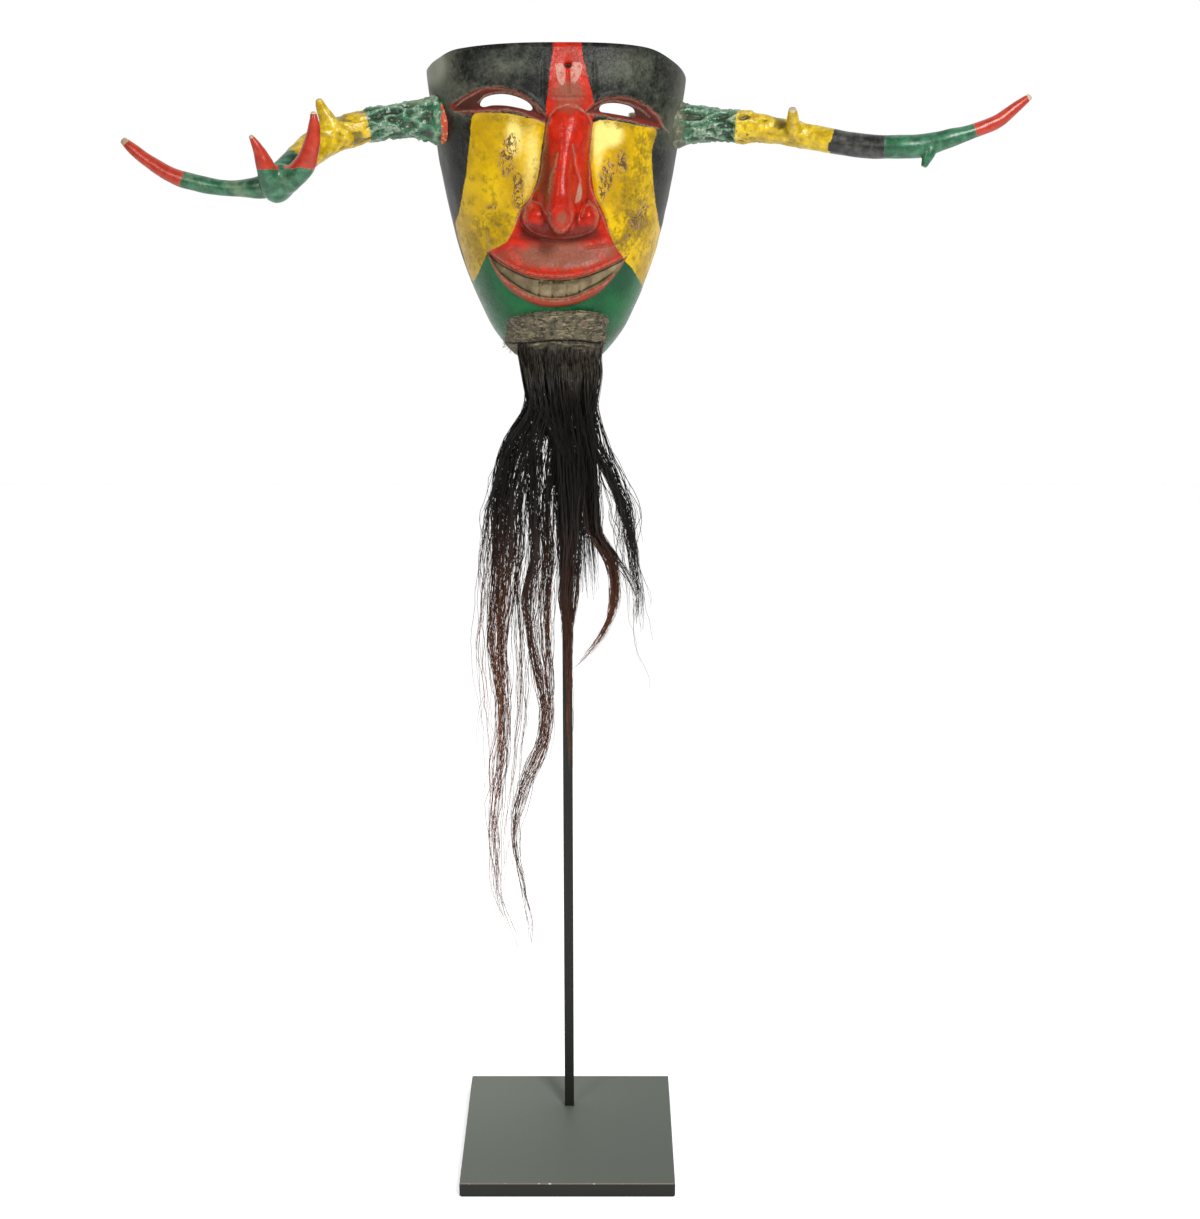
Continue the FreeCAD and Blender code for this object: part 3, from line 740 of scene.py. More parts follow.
# Soft spots of each stain or wear, and of painted shade, painted highlight and painted reflection, as x, z,
# half width, half height and strength.
SPOTS = {
    # dust on the black; the strong spots on the far left and right sides also stand in as a painted
    # reflection of the white backdrop
    "dust_and_side_sheen": [
        (-94, 28, 13, 20, 1.7), (-42, 27, 24, 7, 0.45), (44, 24, 28, 11, 0.45), (96, -6, 12, 30, 1.1),
        (-76, -2, 10, 7, 0.6), (82, -20, 8, 14, 0.6), (-98, -60, 9, 50, 0.9), (-66, 12, 14, 6, 0.4),
        (98, -70, 8, 30, 0.6)],
    "flaked": [
        (-43, -38, 6, 13, 0.75), (-34, -60, 5, 16, 0.85), (-38, -26, 6, 8, 0.7), (-29, -78, 4, 8, 0.7),
        (31, -48, 5, 14, 0.85), (42, -41, 5, 10, 0.8), (53, -84, 7, 8, 0.75), (60, -74, 5, 8, 0.6),
        (27, -60, 3, 9, 0.7), (47, -95, 2.4, 2.4, 0.9), (-54, -73, 9, 3, 0.5), (-50, -96, 9, 4, 0.4),
        (38, -98, 8, 3, 0.4)],
    # painted highlights: pale patches on the upper cheeks beside the nose
    "painted_cheek_highlight": [
        (-37, -22, 7, 16, 1.0), (-23, -34, 6, 26, 0.75), (33, -20, 10, 9, 1.5), (24, -30, 5, 22, 0.8),
        (-30, -60, 7, 20, 0.35), (28, -70, 6, 18, 0.35)],
    "olive": [
        (-50, -95, 22, 20, 0.6), (50, -86, 16, 26, 0.85), (58, -32, 9, 16, 0.9), (42, -14, 16, 3.5, 0.9),
        (-48, -9, 14, 3, 0.7), (50, -60, 12, 14, 0.7), (-48, -80, 16, 10, 0.5), (40, -100, 9, 6, 0.5),
        (-30, -12, 8, 3, 0.6), (56, -86, 9, 8, 0.8), (66, -112, 7, 14, 0.6), (-66, -110, 7, 18, 0.6),
        (-22, -52, 3, 18, 0.5)],
    "dusty_red": [
        (-4, -107, 36, 10.5, 1.8), (3, 10, 15, 10, 1.3), (-4.6, -78, 5.5, 6.5, 1.3), (10.5, -60, 3.0, 9, 0.9),
        (2, -3, 13, 5, 0.6), (2, 36, 14, 9, 0.6), (34, -104, 7, 6, 0.6), (-48, -108, 8, 5, 0.5)],
    # painted shade: darker red on the flanks of the nose, in the creases and under its wings and tip, and at
    # a lip corner
    "painted_shade_red": [
        (-15.5, -44, 5.0, 26, 1.3), (-4, -93.5, 27, 4.2, 1.5), (-14, -89, 8, 5, 1.1), (8, -90, 7, 4.5, 1.0),
        (-13.2, -80, 2.0, 7, 0.9), (7.6, -80, 1.8, 7, 0.8), (-25, -87.5, 8, 5.5, 1.0),
        (17, -88.5, 8, 5.5, 0.9), (17.5, -56, 3, 16, 0.5), (-48, -112, 7, 5, 0.4)],
}
# Spots where the red is worn away, as outlines.
BARE = [
    [(-6.2, 28), (-1, 29), (0.8, 21), (-1.5, 14), (-4.9, 18)],
    [(4.7, 29), (12.3, 29.5), (11.6, 21.5), (5.5, 15)],
    [(9.5, -54), (11.5, -57), (11.0, -65), (6.5, -68), (6.8, -63)],
]
# Thin lines of old dust along edges and creases, as (x, z) points.
DUST_LINES = [
    [(-30.5, -79), (-29, -71), (-24, -66.5), (-18, -68.5), (-15.5, -75)],
    [(11.5, -78), (13, -71.5), (17.5, -67.5), (22, -70), (24.5, -77)],
    [(15, -6), (19, -12), (19, -25), (17.5, -40), (18, -52), (20, -62), (23, -68), (28, -80), (33, -93)],
    [(-10, -6), (-13.5, -14), (-15, -30), (-17, -46), (-20.5, -58), (-25, -66), (-32, -74), (-36, -85)],
    [(-10, -6), (-6, -1.2), (2, 0.8), (9, -0.5), (15, -6)],
    [(-7, -32), (-10, -46), (-13.5, -60)],
    [(5, -26), (7, -40), (10.5, -52), (9, -62)],
    [(-78, -1), (-70, 5.5), (-60, 11), (-49, 12.6), (-36.7, 10.5), (-26, 5.3), (-18, -2), (-13, -8)],
    [(-62, 1.5), (-57, 6.5), (-49, 9.4), (-40, 9.4), (-31, 6.6), (-24, 2.5), (-17.5, -4.5)],
    [(-78, -5.5), (-57, -4), (-41.5, -2.8), (-30, -5), (-20, -9), (-14, -12)],
    [(15, -4), (21, 1), (29, 4.8), (40, 6.2), (51, 3.6), (61, -1.2), (69, -8), (74, -16), (79, -21)],
    [(22, -2), (28, 2.4), (37, 3.4), (47, 1.4), (55, -2.5), (63, -8)],
    [(16, -6), (26, -7), (37, -8.8), (48, -11.2), (60, -14), (70, -17)],
]


def near_lines(lines, x, z):
    """Distance to the nearest of the lines."""
    pairs = [pair for line in lines for pair in zip(line, line[1:])]
    return np.min([to_segment(x, z, *pair) for pair in pairs], 0)


def paint_regions(mask, proud):
    """Stores how far inside each painted area every point of the mask is, in millimetres."""
    x, y, z = to_mask(triples(mask.data.vertices, "co")).T
    radial = ((np.abs(x) / half_width(z)) ** SIDE_POWER + (np.abs(y) / depth(z)) ** FRONT_POWER) ** 0.4
    below = (1 - radial) * SHELL_REACH
    front = ramp(-y, 12, 20)
    top, low, under = through(LIP_EDGE, x), through(MOUTH_EDGE, x), through(LIP_BELOW, x)
    span = np.minimum(x - TEETH_FROM, TEETH_TO - x)
    points = on_front(x, z)
    dust_line = near_lines(DUST_LINES, x + noise(points, 7.0, 121) * 0.7, z + noise(points, 7.0, 127) * 0.7)

    def within(*outlines):
        return np.max([inside(outline, x, z) for outline in outlines], 0)

    set_values(
        mask, below=below,
        yellow=np.where(front > 0.5, within(YELLOW_LEFT, YELLOW_RIGHT), -9.0),
        red=within(RED_FACE, STRIPE),
        green=np.interp(x, *np.array(GREEN_TOP, float).T) - z,
        teeth=np.min([top - z, z - low, span], 0),
        lip=np.min([low - z + 0.6, z - under, span], 0),
        lid=within(EYE_LEFT, EYE_RIGHT),
        proud=proud.at(x, z) * ramp(below, 9, 5),
        dust_line=bell(dust_line, 0.55) * front,
        bare=within(*map(rounded, BARE)),
        **{name: spots(x, z, places) for name, places in SPOTS.items()})


def face_paint():
    p = Paint("face_paint")
    speck, fine = p.noise(1.0, 3.0, 0.7), p.noise(2.4, 4.0, 0.65)
    medium, broad = p.noise(7.0, 4.0, 0.6), p.noise(30.0, 4.0, 0.6)
    blotch = medium + fine
    edge = fine * 2.2 - 1.1
    proud, dust_and_side_sheen = p.value("proud"), p.value("dust_and_side_sheen")
    crack = p.step(p.seams(3.4, p.crooked(5.0, 3.0, (1.0, 1.0, 0.75))), 0.0, 0.035, 1.0, 0.0)
    torn = p.noise(4.4, 3.0, 0.55, p.stretched(1.0, 1.0, 0.55), 1.2)

    def area(name, soft=0.4):
        return p.step(p.value(name) + edge, -soft, soft)

    def patch(name, low, high):
        """Broken patches where the stored spots are strong."""
        return p.step(blotch * 0.5 + p.value(name), low, high)

    # black, with dust on its corners, and on its far sides lighter grey as a painted reflection of the white
    # backdrop
    dust = p.step(dust_and_side_sheen * 0.55 + broad * 0.6 + blotch * 0.5, 0.72, 1.30, 0.0, 0.95)
    grey = p.fade((0.105, 0.112, 0.080), (0.270, 0.280, 0.215), dust_and_side_sheen, 0.7, 1.4)
    black = p.mix(dust, (0.005, 0.006, 0.005), grey)
    black = p.fade(black, (0.26, 0.26, 0.19), speck, 0.64, 0.72, 0.55)

    # yellow, stained, flaked to the priming and crazed, with painted highlights on the upper cheeks
    yellow = p.fade((0.66, 0.42, 0.001), (0.44, 0.26, 0.001), broad, 0.38, 0.62)
    yellow = p.fade(yellow, (0.27, 0.19, 0.002), medium, 0.50, 0.72, 0.8)
    # painted highlight: pale yellow on the upper cheeks
    yellow = p.mix(patch("painted_cheek_highlight", 0.7, 1.5), yellow, (0.84, 0.66, 0.19))
    mottle = p.value("olive") * 0.42 + blotch * 0.9
    yellow = p.fade(yellow, (0.26, 0.170, 0.004), mottle, 1.02, 1.32, 0.8)
    yellow = p.fade(yellow, (0.15, 0.085, 0.014), mottle, 1.28, 1.46, 0.6)
    zone = patch("flaked", 0.78, 1.10)
    yellow = p.mix(zone * p.step(fine, 0.50, 0.58, 0.0, 0.75), yellow, (0.36, 0.19, 0.12))
    yellow = p.mix(zone * p.step(abs(torn - 0.5), 0.055, 0.020, 0.0, 0.9), yellow, (0.060, 0.034, 0.020))
    crazed = crack * p.step(p.value("flaked"), 0.05, 0.8, 0.12, 0.75)
    yellow = p.mix(crazed, yellow, (0.10, 0.07, 0.02))
    yellow = p.fade(yellow, (0.22, 0.13, 0.01), speck, 0.30, 0.22, 0.5)
    colour = p.mix(area("yellow"), black, yellow)

    green = p.fade((0.004, 0.060, 0.020), (0.006, 0.110, 0.032), broad, 0.35, 0.65)
    green = p.fade(green, (0.03, 0.17, 0.07), medium, 0.60, 0.80, 0.5)
    colour = p.mix(area("green"), colour, green)

    # red, with painted shade where the carving lies low and round the nose, dust where hands and time rubbed
    # it, and a duller brick on the lower lip
    red = p.fade((0.52, 0.019, 0.004), (0.32, 0.011, 0.003), medium, 0.30, 0.70)
    # painted shade: darker red where the carving lies low
    red = p.fade(red, (0.13, 0.012, 0.006), proud, -0.4, -1.8, 0.5)
    # painted shade: darker red on the nose's flanks, under the nose and its wings, and at a lip corner
    red = p.fade(red, (0.100, 0.014, 0.008), p.value("painted_shade_red"), 0.1, 0.9, 0.8)
    red = p.mix(patch("dusty_red", 0.80, 1.8) * 0.88, red, (0.215, 0.082, 0.047))
    red = p.mix(crack * p.step(p.value("dusty_red"), 0.2, 0.9, 0.03, 0.4), red, (0.10, 0.015, 0.01))
    brick = p.fade((0.29, 0.036, 0.014), (0.20, 0.040, 0.020), fine, 0.35, 0.65)
    lip = area("lip")
    reds = p.math("MAXIMUM", area("red"), lip)
    colour = p.mix(reds, colour, p.mix(lip, red, brick))

    teeth = p.fade((0.17, 0.120, 0.060), (0.31, 0.255, 0.145), medium, 0.3, 0.7)
    teeth = p.fade(teeth, (0.060, 0.045, 0.026), fine, 0.42, 0.30, 0.6)
    # painted shade: darker where the teeth lie low, under the upper lip and in the gaps
    teeth = p.fade(teeth, (0.030, 0.022, 0.013), proud, -0.5, -1.3, 0.85)
    colour = p.mix(area("teeth", 0.25), colour, teeth)
    lid = p.fade((0.21, 0.020, 0.011), (0.085, 0.016, 0.010), medium, 0.3, 0.7)
    lid = p.fade(lid, (0.035, 0.011, 0.008), p.value("lid"), 1.0, 4.0, 0.8)
    colour = p.mix(area("lid", 0.5), colour, lid)

    # worn through on what stands proud; painted shade and dirt in what lies low
    rub = p.step(proud, 0.40, 1.00) * p.step(fine, 0.36, 0.62)
    colour = p.mix(rub * 0.5, colour, (0.38, 0.21, 0.145))
    bare = p.step(p.value("bare"), -0.3, 0.5) * p.step(fine, 0.34, 0.54, 0.25, 0.95)
    colour = p.mix(bare, colour, (0.44, 0.225, 0.17))
    # painted shade and dirt: darker where the carving lies low
    colour = p.fade(colour, (0.050, 0.024, 0.015), proud, -0.9, -2.4, 0.5)
    line = p.value("dust_line") * p.step(fine, 0.30, 0.60, 0.15, 0.75)
    colour = p.mix(line, colour, (0.34, 0.215, 0.15))

    # bare wood behind
    grain = p.noise(2.0, 4.0, 0.6, p.stretched(1.0, 1.0, 0.08), 1.0)
    wood = p.fade((0.17, 0.095, 0.045), (0.29, 0.18, 0.095), grain, 0.3, 0.7)
    wood = p.fade(wood, (0.07, 0.045, 0.028), broad, 0.45, 0.75, 0.7)
    back = p.step(p.value("below") + edge, 5.6, 6.6)
    colour = p.mix(back, colour, wood)

    rough = reds * -0.16 + 0.32
    for where, more in ((area("yellow"), -0.06), (area("green"), -0.12), (area("lid"), 0.22), (dust, 0.20),
                        (rub, 0.30), (p.value("dusty_red"), 0.20), (lip, 0.30), (medium, 0.16)):
        rough = rough + where * more
    relief = fine + medium * 1.2 - crack * 0.5 - patch("flaked", 0.98, 1.12) * 0.8
    return p.set(Base_Color=colour, Roughness=p.math("MAXIMUM", rough, back * 0.78),
                 Specular_IOR_Level=0.2, Normal=p.bump(relief, 0.55, 0.45))


def make_face():
    x, z = Sheet.grid()
    relief = Sheet(face_relief(x, z))
    proud = Sheet(relief.table - blurred(relief.table, 3.0))
    mask = make_mask(relief)
    cut_openings(mask)
    paint_regions(mask, proud)
    finish_piece(mask, "mask", "painted_wood", face_paint(), "mask_shell")


# ---- antlers -----------------------------------------------------------------
TENON_R, TENON_END = 9.0, 52.0
# Beams, as stations x, y, z and radius.
LEFT_BEAM = [
    (-82, -32, -12, 12.6), (-108, -34, -12, 12.3), (-132, -37, -14, 11.5), (-156, -42, -19, 11.8),
    (-174, -50, -25, 12.6), (-188, -64, -35, 11.2), (-201, -79, -46, 10.4), (-215, -86, -55, 8.8),
    (-230, -84, -57, 6.5), (-247, -79, -57, 5.9), (-265, -73, -54, 6.0), (-282, -68, -49, 5.8),
    (-299, -62, -40, 4.9), (-311, -58, -31, 4.3), (-319, -55, -24, 2.7),
]
# Tines: paint, height below which a tine has the beam's paint instead, and its stations.
FORK_FOOT = -41.5
LEFT_TINES = [
    ("red", FORK_FOOT, [(-203, -84, -53, 10), (-208, -95, -57, 9.2), (-213, -104, -43, 7.2),
                        (-217.5, -108, -29, 4.6), (-223, -111, -18, 1.8)]),
    ("red", FORK_FOOT, [(-198, -84, -48, 9), (-199, -98, -51, 8.6), (-187, -106, -40, 8.0),
                        (-180.5, -111, -26, 6.0), (-178, -114, -12, 4.4), (-178, -116, -2, 2.3)]),
    ("yellow", None, [(-164, -49, -24, 9), (-170, -50, -13, 7.2), (-174.5, -51, -4, 4.4),
                      (-177, -53, 4, 2.0)]),
]
RIGHT_BEAM = [
    (84, -32, -16, 12.7), (116, -41, -16, 11.6), (139, -50, -17, 10.8), (157, -56, -19, 9.8),
    (171, -61, -21, 9.5), (185, -66, -24, 9.3), (202, -72, -27, 9.2), (224, -80, -30, 8.6),
    (246, -88, -30, 8.8), (263, -91, -29, 8.4), (280, -95, -24, 6.6), (297, -96, -19, 5.7),
    (315, -96, -12, 5.1), (329, -95, -2, 4.2), (340, -94, 6, 2.4),
]
RIGHT_TINES = [
    ("yellow", None, [(171, -61, -21, 7.5), (170, -70, -17, 5.9), (168, -78, -10, 4.4), (166, -86, -3, 3)]),
    ("green", None, [(268, -93, -26, 6.5), (266, -96, -34, 5), (264, -97, -39, 3.7), (262, -98, -44, 2.4)]),
]
# The palm between the two tines of the left antler's fork, from inside one to inside the other.
LEFT_PALM = [(-198, -90, -49, 8.5), (-203.5, -97, -48.5, 10.0), (-209, -95, -53, 8.5)]
# Painted bands, each as the distance from the middle of the mask at which it ends, and its paint.
# The first starts at BANDS_START.
LEFT_BANDS = ((143, "green"), (194, "yellow"), (275, "green"), (316, "red"), (400, "bone"))
RIGHT_BANDS = ((132, "green"), (199, "yellow"), (236, "black"), (300, "green"), (337, "red"), (400, "bone"))
BANDS_START = 80.0
# Profiles of the paste collars round the roots, as distance out and radius.
LEFT_COLLAR = [(77, 10), (79, 16.0), (82, 17.8), (87, 18.2), (89, 17.0), (90, 9)]
RIGHT_COLLAR = [(77, 10), (82, 17.0), (90, 17.2), (95, 14.8), (100, 13.6), (103, 12.6), (104, 9)]


def curve_through(stations, between):
    """Smooth curve through stations of any number of values."""
    stations = np.array(stations, float)
    steps = np.arange(len(stations))
    fine = np.linspace(0, len(stations) - 1, (len(stations) - 1) * between + 1)
    return np.stack([through(list(zip(steps, column)), fine) for column in stations.T], -1)


def carried_sides(path):
    """Two cross directions along a path, without twist."""
    tangent = np.gradient(path, axis=0)
    tangent /= np.linalg.norm(tangent, axis=1)[:, None]
    side = np.empty_like(path)
    last = np.array([0.31, 0.89, 0.33])
    for i, t in enumerate(tangent):
        last = last - t * (last @ t)
        last /= np.linalg.norm(last)
        side[i] = last
    return side, np.cross(tangent, side)


def tube(stations, around=28, between=8):
    """Closed round bar through (x, y, z, radius) stations."""
    path = curve_through(stations, between)
    side, up = carried_sides(path[:, :3])
    turn = np.arange(around) * 2 * math.pi / around
    ring = np.cos(turn)[:, None, None] * side + np.sin(turn)[:, None, None] * up
    verts = (path[None, :, :3] + ring * path[None, :, 3:]).transpose(1, 0, 2).reshape(-1, 3)
    rows = len(path)
    faces = [tuple(f) for f in grid_faces(rows, around, wrap=True)]
    faces.append(tuple(range(around - 1, -1, -1)))
    faces.append(tuple(range((rows - 1) * around, rows * around)))
    return verts, faces


def along_tine(points, stations):
    """How far the points are from a tine's skin, and how far along it they lie, 0 to 1."""
    line = curve_through(stations, 6)
    gap = np.linalg.norm(points[:, None] - line[None, :, :3], axis=2) - line[None, :, 3]
    return gap.min(1), gap.argmin(1) / (len(line) - 1)


def antler_mesh(name, beam, branches):
    """The tenon, the beam and its branches, melted into one skin."""
    x, y, z, radius = beam[0]
    sign = math.copysign(1, x)
    tenon = [(sign * TENON_END, y, z, TENON_R), (x + sign * 4, y, z, TENON_R)]
    outer = [(x - sign * 0.5, y, z, radius)] + beam[1:]
    verts, faces = joined([tube(tenon, 28, 12), tube(outer)] + [tube(branch, 24) for branch in branches])
    antler = new_object(name, to_world(verts), faces)
    skin = antler.modifiers.new("skin", "REMESH")
    skin.mode = "VOXEL"
    skin.voxel_size = 0.95 * MM
    soften = antler.modifiers.new("soften", "SMOOTH")
    soften.factor = 0.5
    soften.iterations = 5
    apply_modifiers(antler)
    smooth_shaded(antler.data)
    return antler


def antler_shades(here, along, bands, tines):
    """How much of each paint lies at each point."""
    shade = {name: np.zeros(len(here)) for name in ("green", "yellow", "red", "black", "bone")}
    start = BANDS_START
    for end, name in bands:
        band = ramp(along, start - 1, start + 1) * ramp(along, end + 1, end - 1)
        shade[name] = np.maximum(shade[name], band)
        start = end
    shade["bone"] = np.maximum(shade["bone"], ramp(along, 84, 76))
    for tint, foot, stations in tines:
        gap, at = along_tine(here, stations)
        on = ramp(gap, 2.0, 0.5)
        tip = on * ramp(at, 0.93, 0.97)
        cover = on * ramp(at, 0.2, 0.3)
        if foot is not None:
            cover = cover * ramp(here[:, 2] + noise(here, 5.0, 61) * 2, foot - 2, foot + 2)
        for name in shade:
            shade[name] = shade[name] * (1 - np.maximum(cover, tip))
        shade[tint] = np.maximum(shade[tint], cover * (1 - tip))
        shade["bone"] = np.maximum(shade["bone"], tip)
    return shade


def make_antler(side, beam, bands, tines, palms, burr, paint):
    """An antler; palms have no paint of their own, and burr is how far the root swells."""
    antler = antler_mesh("antler_" + side + "_horn", beam, [stations for _, _, stations in tines] + palms)
    here = to_mask(triples(antler.data.vertices, "co"))
    normal = triples(antler.data.vertex_normals, "vector") @ TO_WORLD
    path = curve_through(beam, 12)
    nearest = np.concatenate([np.linalg.norm(part[:, None] - path[None, :, :3], axis=2).argmin(1)
                              for part in np.array_split(here, len(here) // 4000 + 1)])
    reach = np.abs(here[:, 0])
    along = np.where(reach < 84, reach, np.abs(path[nearest, 0])) + 1.5 * noise(here, 6.0, 41)
    free = ramp(reach, 84, 92)
    # the burr: the horn swells where it meets the mask
    swell = burr * ramp(reach, 112, 90) * ramp(reach, 82, 88)
    on_tine = 0.0
    for _, _, stations in tines:
        gap, at = along_tine(here, stations)
        on_tine = np.maximum(on_tine, ramp(gap, 2.0, 0.5) * ramp(at, 0.25, 0.5))
    # ridged lengthwise and pearled near the root, smooth further out
    barky = (ramp(along, 146, 138) * 0.62 + 0.38 * ramp(along, 215, 150)) * free * (1 - on_tine)
    ridges = 1 - 2.6 * np.abs(noise(here * (0.42, 1.0, 1.0), 5.2, 43)) - 0.9 * np.abs(noise(here, 2.8, 47))
    ridges = np.clip(ridges, -0.9, 0.95)
    furrows = noise(here * (0.14, 1.0, 1.0), 3.6, 53) * 0.22 + noise(here, 14.0, 59) * 0.6
    thin = ramp(path[nearest, 3], 2.0, 7.0) * free
    here = here + normal * (barky * ridges * 2.2 + furrows * thin + swell)[:, None]
    set_points(antler, to_world(here))
    set_values(antler, ridge=ridges * barky, **antler_shades(here, along, bands, tines))
    finish_piece(antler, "mask", "painted_antler", paint, "antler_" + side)


def antler_paint():
    p = Paint("antler_paint")
    fine, medium, broad = p.noise(1.6, 4.0, 0.65), p.noise(6.0, 4.0, 0.6), p.noise(24.0, 3.0)
    ridge, green, yellow = p.value("ridge"), p.value("green"), p.value("yellow")
    colour = p.fade((0.50, 0.42, 0.29), (0.32, 0.24, 0.15), medium, 0.35, 0.65)
    for name, dark, light in (("green", (0.014, 0.075, 0.034), (0.045, 0.180, 0.090)),
                              ("yellow", (0.38, 0.24, 0.004), (0.66, 0.47, 0.008)),
                              ("red", (0.33, 0.024, 0.010), (0.45, 0.040, 0.018)),
                              ("black", (0.010, 0.010, 0.010), (0.055, 0.055, 0.048))):
        tint = p.fade(dark, light, medium, 0.35, 0.7)
        colour = p.fade(colour, tint, p.value(name) + fine * 0.5, 0.60, 0.85)
    # paint worn and bleached on top of the ridges, lighter there also as painted highlight; dirt and painted
    # shade between them
    worn = p.step(ridge, 0.08, 0.5) * p.step(fine, 0.40, 0.60, 0.15, 0.95)
    colour = p.mix(worn * green, colour, (0.26, 0.33, 0.24))
    colour = p.mix(worn * yellow * 0.5, colour, (0.72, 0.58, 0.13))
    # painted shade and dirt in the furrows between the ridges
    colour = p.fade(colour, (0.022, 0.026, 0.014), ridge, -0.04, -0.45, 0.85)
    colour = p.mix(p.step(broad, 0.54, 0.72, 0.0, 0.5) * green, colour, (0.20, 0.24, 0.14))
    colour = p.fade(colour, (0.060, 0.045, 0.025), fine, 0.34, 0.26, 0.5)
    return p.set(Base_Color=colour, Roughness=fine * 0.2 + 0.22,
                 Specular_IOR_Level=0.45, Normal=p.bump(fine + medium, 0.35, 0.3))


def make_filler(side, sign, profile, paint):
    """Lumpy collar of paste round an antler's root; profile is (distance out, radius)."""
    out, radius = curve_through(profile, 5).T[..., None]
    around = 48
    turn = np.arange(around) * 2 * math.pi / around
    away = np.stack([0 * turn, np.cos(turn), np.sin(turn)], -1)
    grid = np.stack([sign * out, 0 * out + ANTLER_Y, 0 * out + ROOT_Z[side]], -1) + away * radius[..., None]
    lumps = rough_noise(grid, 9.0, 67, 3) * 0.9 * ramp(radius, 4, 9)
    grid = grid + away * lumps[..., None]
    faces = [tuple(f) for f in grid_faces(len(out), around, wrap=True)]
    faces += [tuple(range(around)), tuple(range((len(out) - 1) * around, len(out) * around))]
    collar = new_object("collar_" + side, to_world(grid.reshape(-1, 3)), faces)
    finish_piece(collar, "mask", "filler_paste", paint, "antler_filler_" + side)


def paste(name, main, fleck, dark):
    p = Paint(name)
    fine, medium = p.noise(1.8, 4.0, 0.65), p.noise(5.0, 3.0)
    colour = p.fade(main, fleck, medium, 0.52, 0.62)
    colour = p.fade(colour, dark, fine, 0.42, 0.32, 0.8)
    return p.set(Base_Color=colour, Roughness=fine * 0.3 + 0.4, Normal=p.bump(fine + medium, 0.8, 0.5))


# ---- hide and beard ----------------------------------------------------------
HIDE_EDGE = [
    (-40, -186), (-42.5, -176), (-41.5, -163), (-39.5, -157), (-31, -152.5), (-17, -150), (0, -149),
    (18, -149.8), (29, -153), (32.5, -159), (33, -170), (31.5, -184), (24, -190), (0, -192), (-24, -190)]
SEAM_MIDDLE, SEAM_SAG = -172.5, 0.0040
HIDE_THICK = 2.6
TACKS_X, TACKS_Z = (-38, -20, -3, 14, 32), -158
HIDE_MIDDLE = np.array([-4.5, -170.0])


def skin_depth(x, z):
    """How far forward the plain face stands at a place on its front."""
    return depth(z) * np.clip(1 - (np.abs(x) / half_width(z)) ** SIDE_POWER, 0, 1) ** (1 / FRONT_POWER)


def seam_height(x):
    return SEAM_MIDDLE - SEAM_SAG * (x + 3) ** 2


def bend_at_seam(obj):
    """Bakes the piece's placement into its points."""
    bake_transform(obj)


def hide_relief(x, z, rim):
    """How far the skin stands off the wood, and the height above its seam."""
    place = on_front(x, z)
    seam = z - seam_height(x) - 0.5 * noise(place, 6.0, 73)
    wrinkle = noise(place * (0.3, 1.0, 1.0), 3.6, 79) * 0.8 + noise(place, 10.0, 83) * 1.1
    wrinkle = wrinkle + np.abs(noise(place * (0.5, 1.0, 1.0), 2.6, 89)) * 0.7
    thick = 3.4 + wrinkle + 1.3 * bell(seam + 3.0, 1.8) + 0.8 * bell(seam - 3.0, 2.2) - 2.4 * bell(seam, 0.9)
    thick = thick + 1.2 * bell(z + 156, 2.5) * (1 - rim)
    for tack in TACKS_X:
        pressed = bell(np.hypot(x - tack, z - TACKS_Z), 3.2)
        thick = thick + (HIDE_THICK - 0.2 - thick) * pressed
    return thick, seam


def make_hide():
    """One dry skin, tacked on above the seam and hanging below it."""
    ring = rounded(HIDE_EDGE, 14)
    away = (ring - HIDE_MIDDLE) / np.linalg.norm(ring - HIDE_MIDDLE, axis=1)[:, None]
    ring = ring + away * (rough_noise(on_front(*ring.T), 7.0, 71, 3) * 0.8)[:, None]
    shares = np.concatenate([np.linspace(0.02, 0.9, 40), [0.94, 0.97, 1.0]])[:, None]
    x, z = np.moveaxis(HIDE_MIDDLE + (ring - HIDE_MIDDLE) * shares[..., None], -1, 0)
    rim = ramp(shares, 0.93, 1.0)
    thick, seam = hide_relief(x, z, rim)
    y = -skin_depth(x, z)
    front = np.stack([x, y - thick * (1 - rim) - 1.2 * rim, z], -1)
    back = np.stack([x, y - 0.5, z], -1)
    rows, cols = x.shape
    base = rows * cols
    last = base - cols
    sheet = grid_faces(rows, cols, wrap=True)
    faces = [tuple(f[::-1]) for f in sheet] + [tuple(base + f) for f in sheet]
    for k in range(cols):
        after = (k + 1) % cols
        faces.append((last + after, last + k, base + last + k, base + last + after))
    faces += [tuple(range(cols)), tuple(range(base + cols - 1, base - 1, -1))]
    verts = np.concatenate([front.reshape(-1, 3), back.reshape(-1, 3)])
    hide = new_object("hide_skin", to_world(verts), faces)
    set_values(hide, seam=np.tile(seam.ravel(), 2))
    hide.data.materials.append(hide_skin_paint())
    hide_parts("hide_band", "hide_flap")
    bend_at_seam(hide)


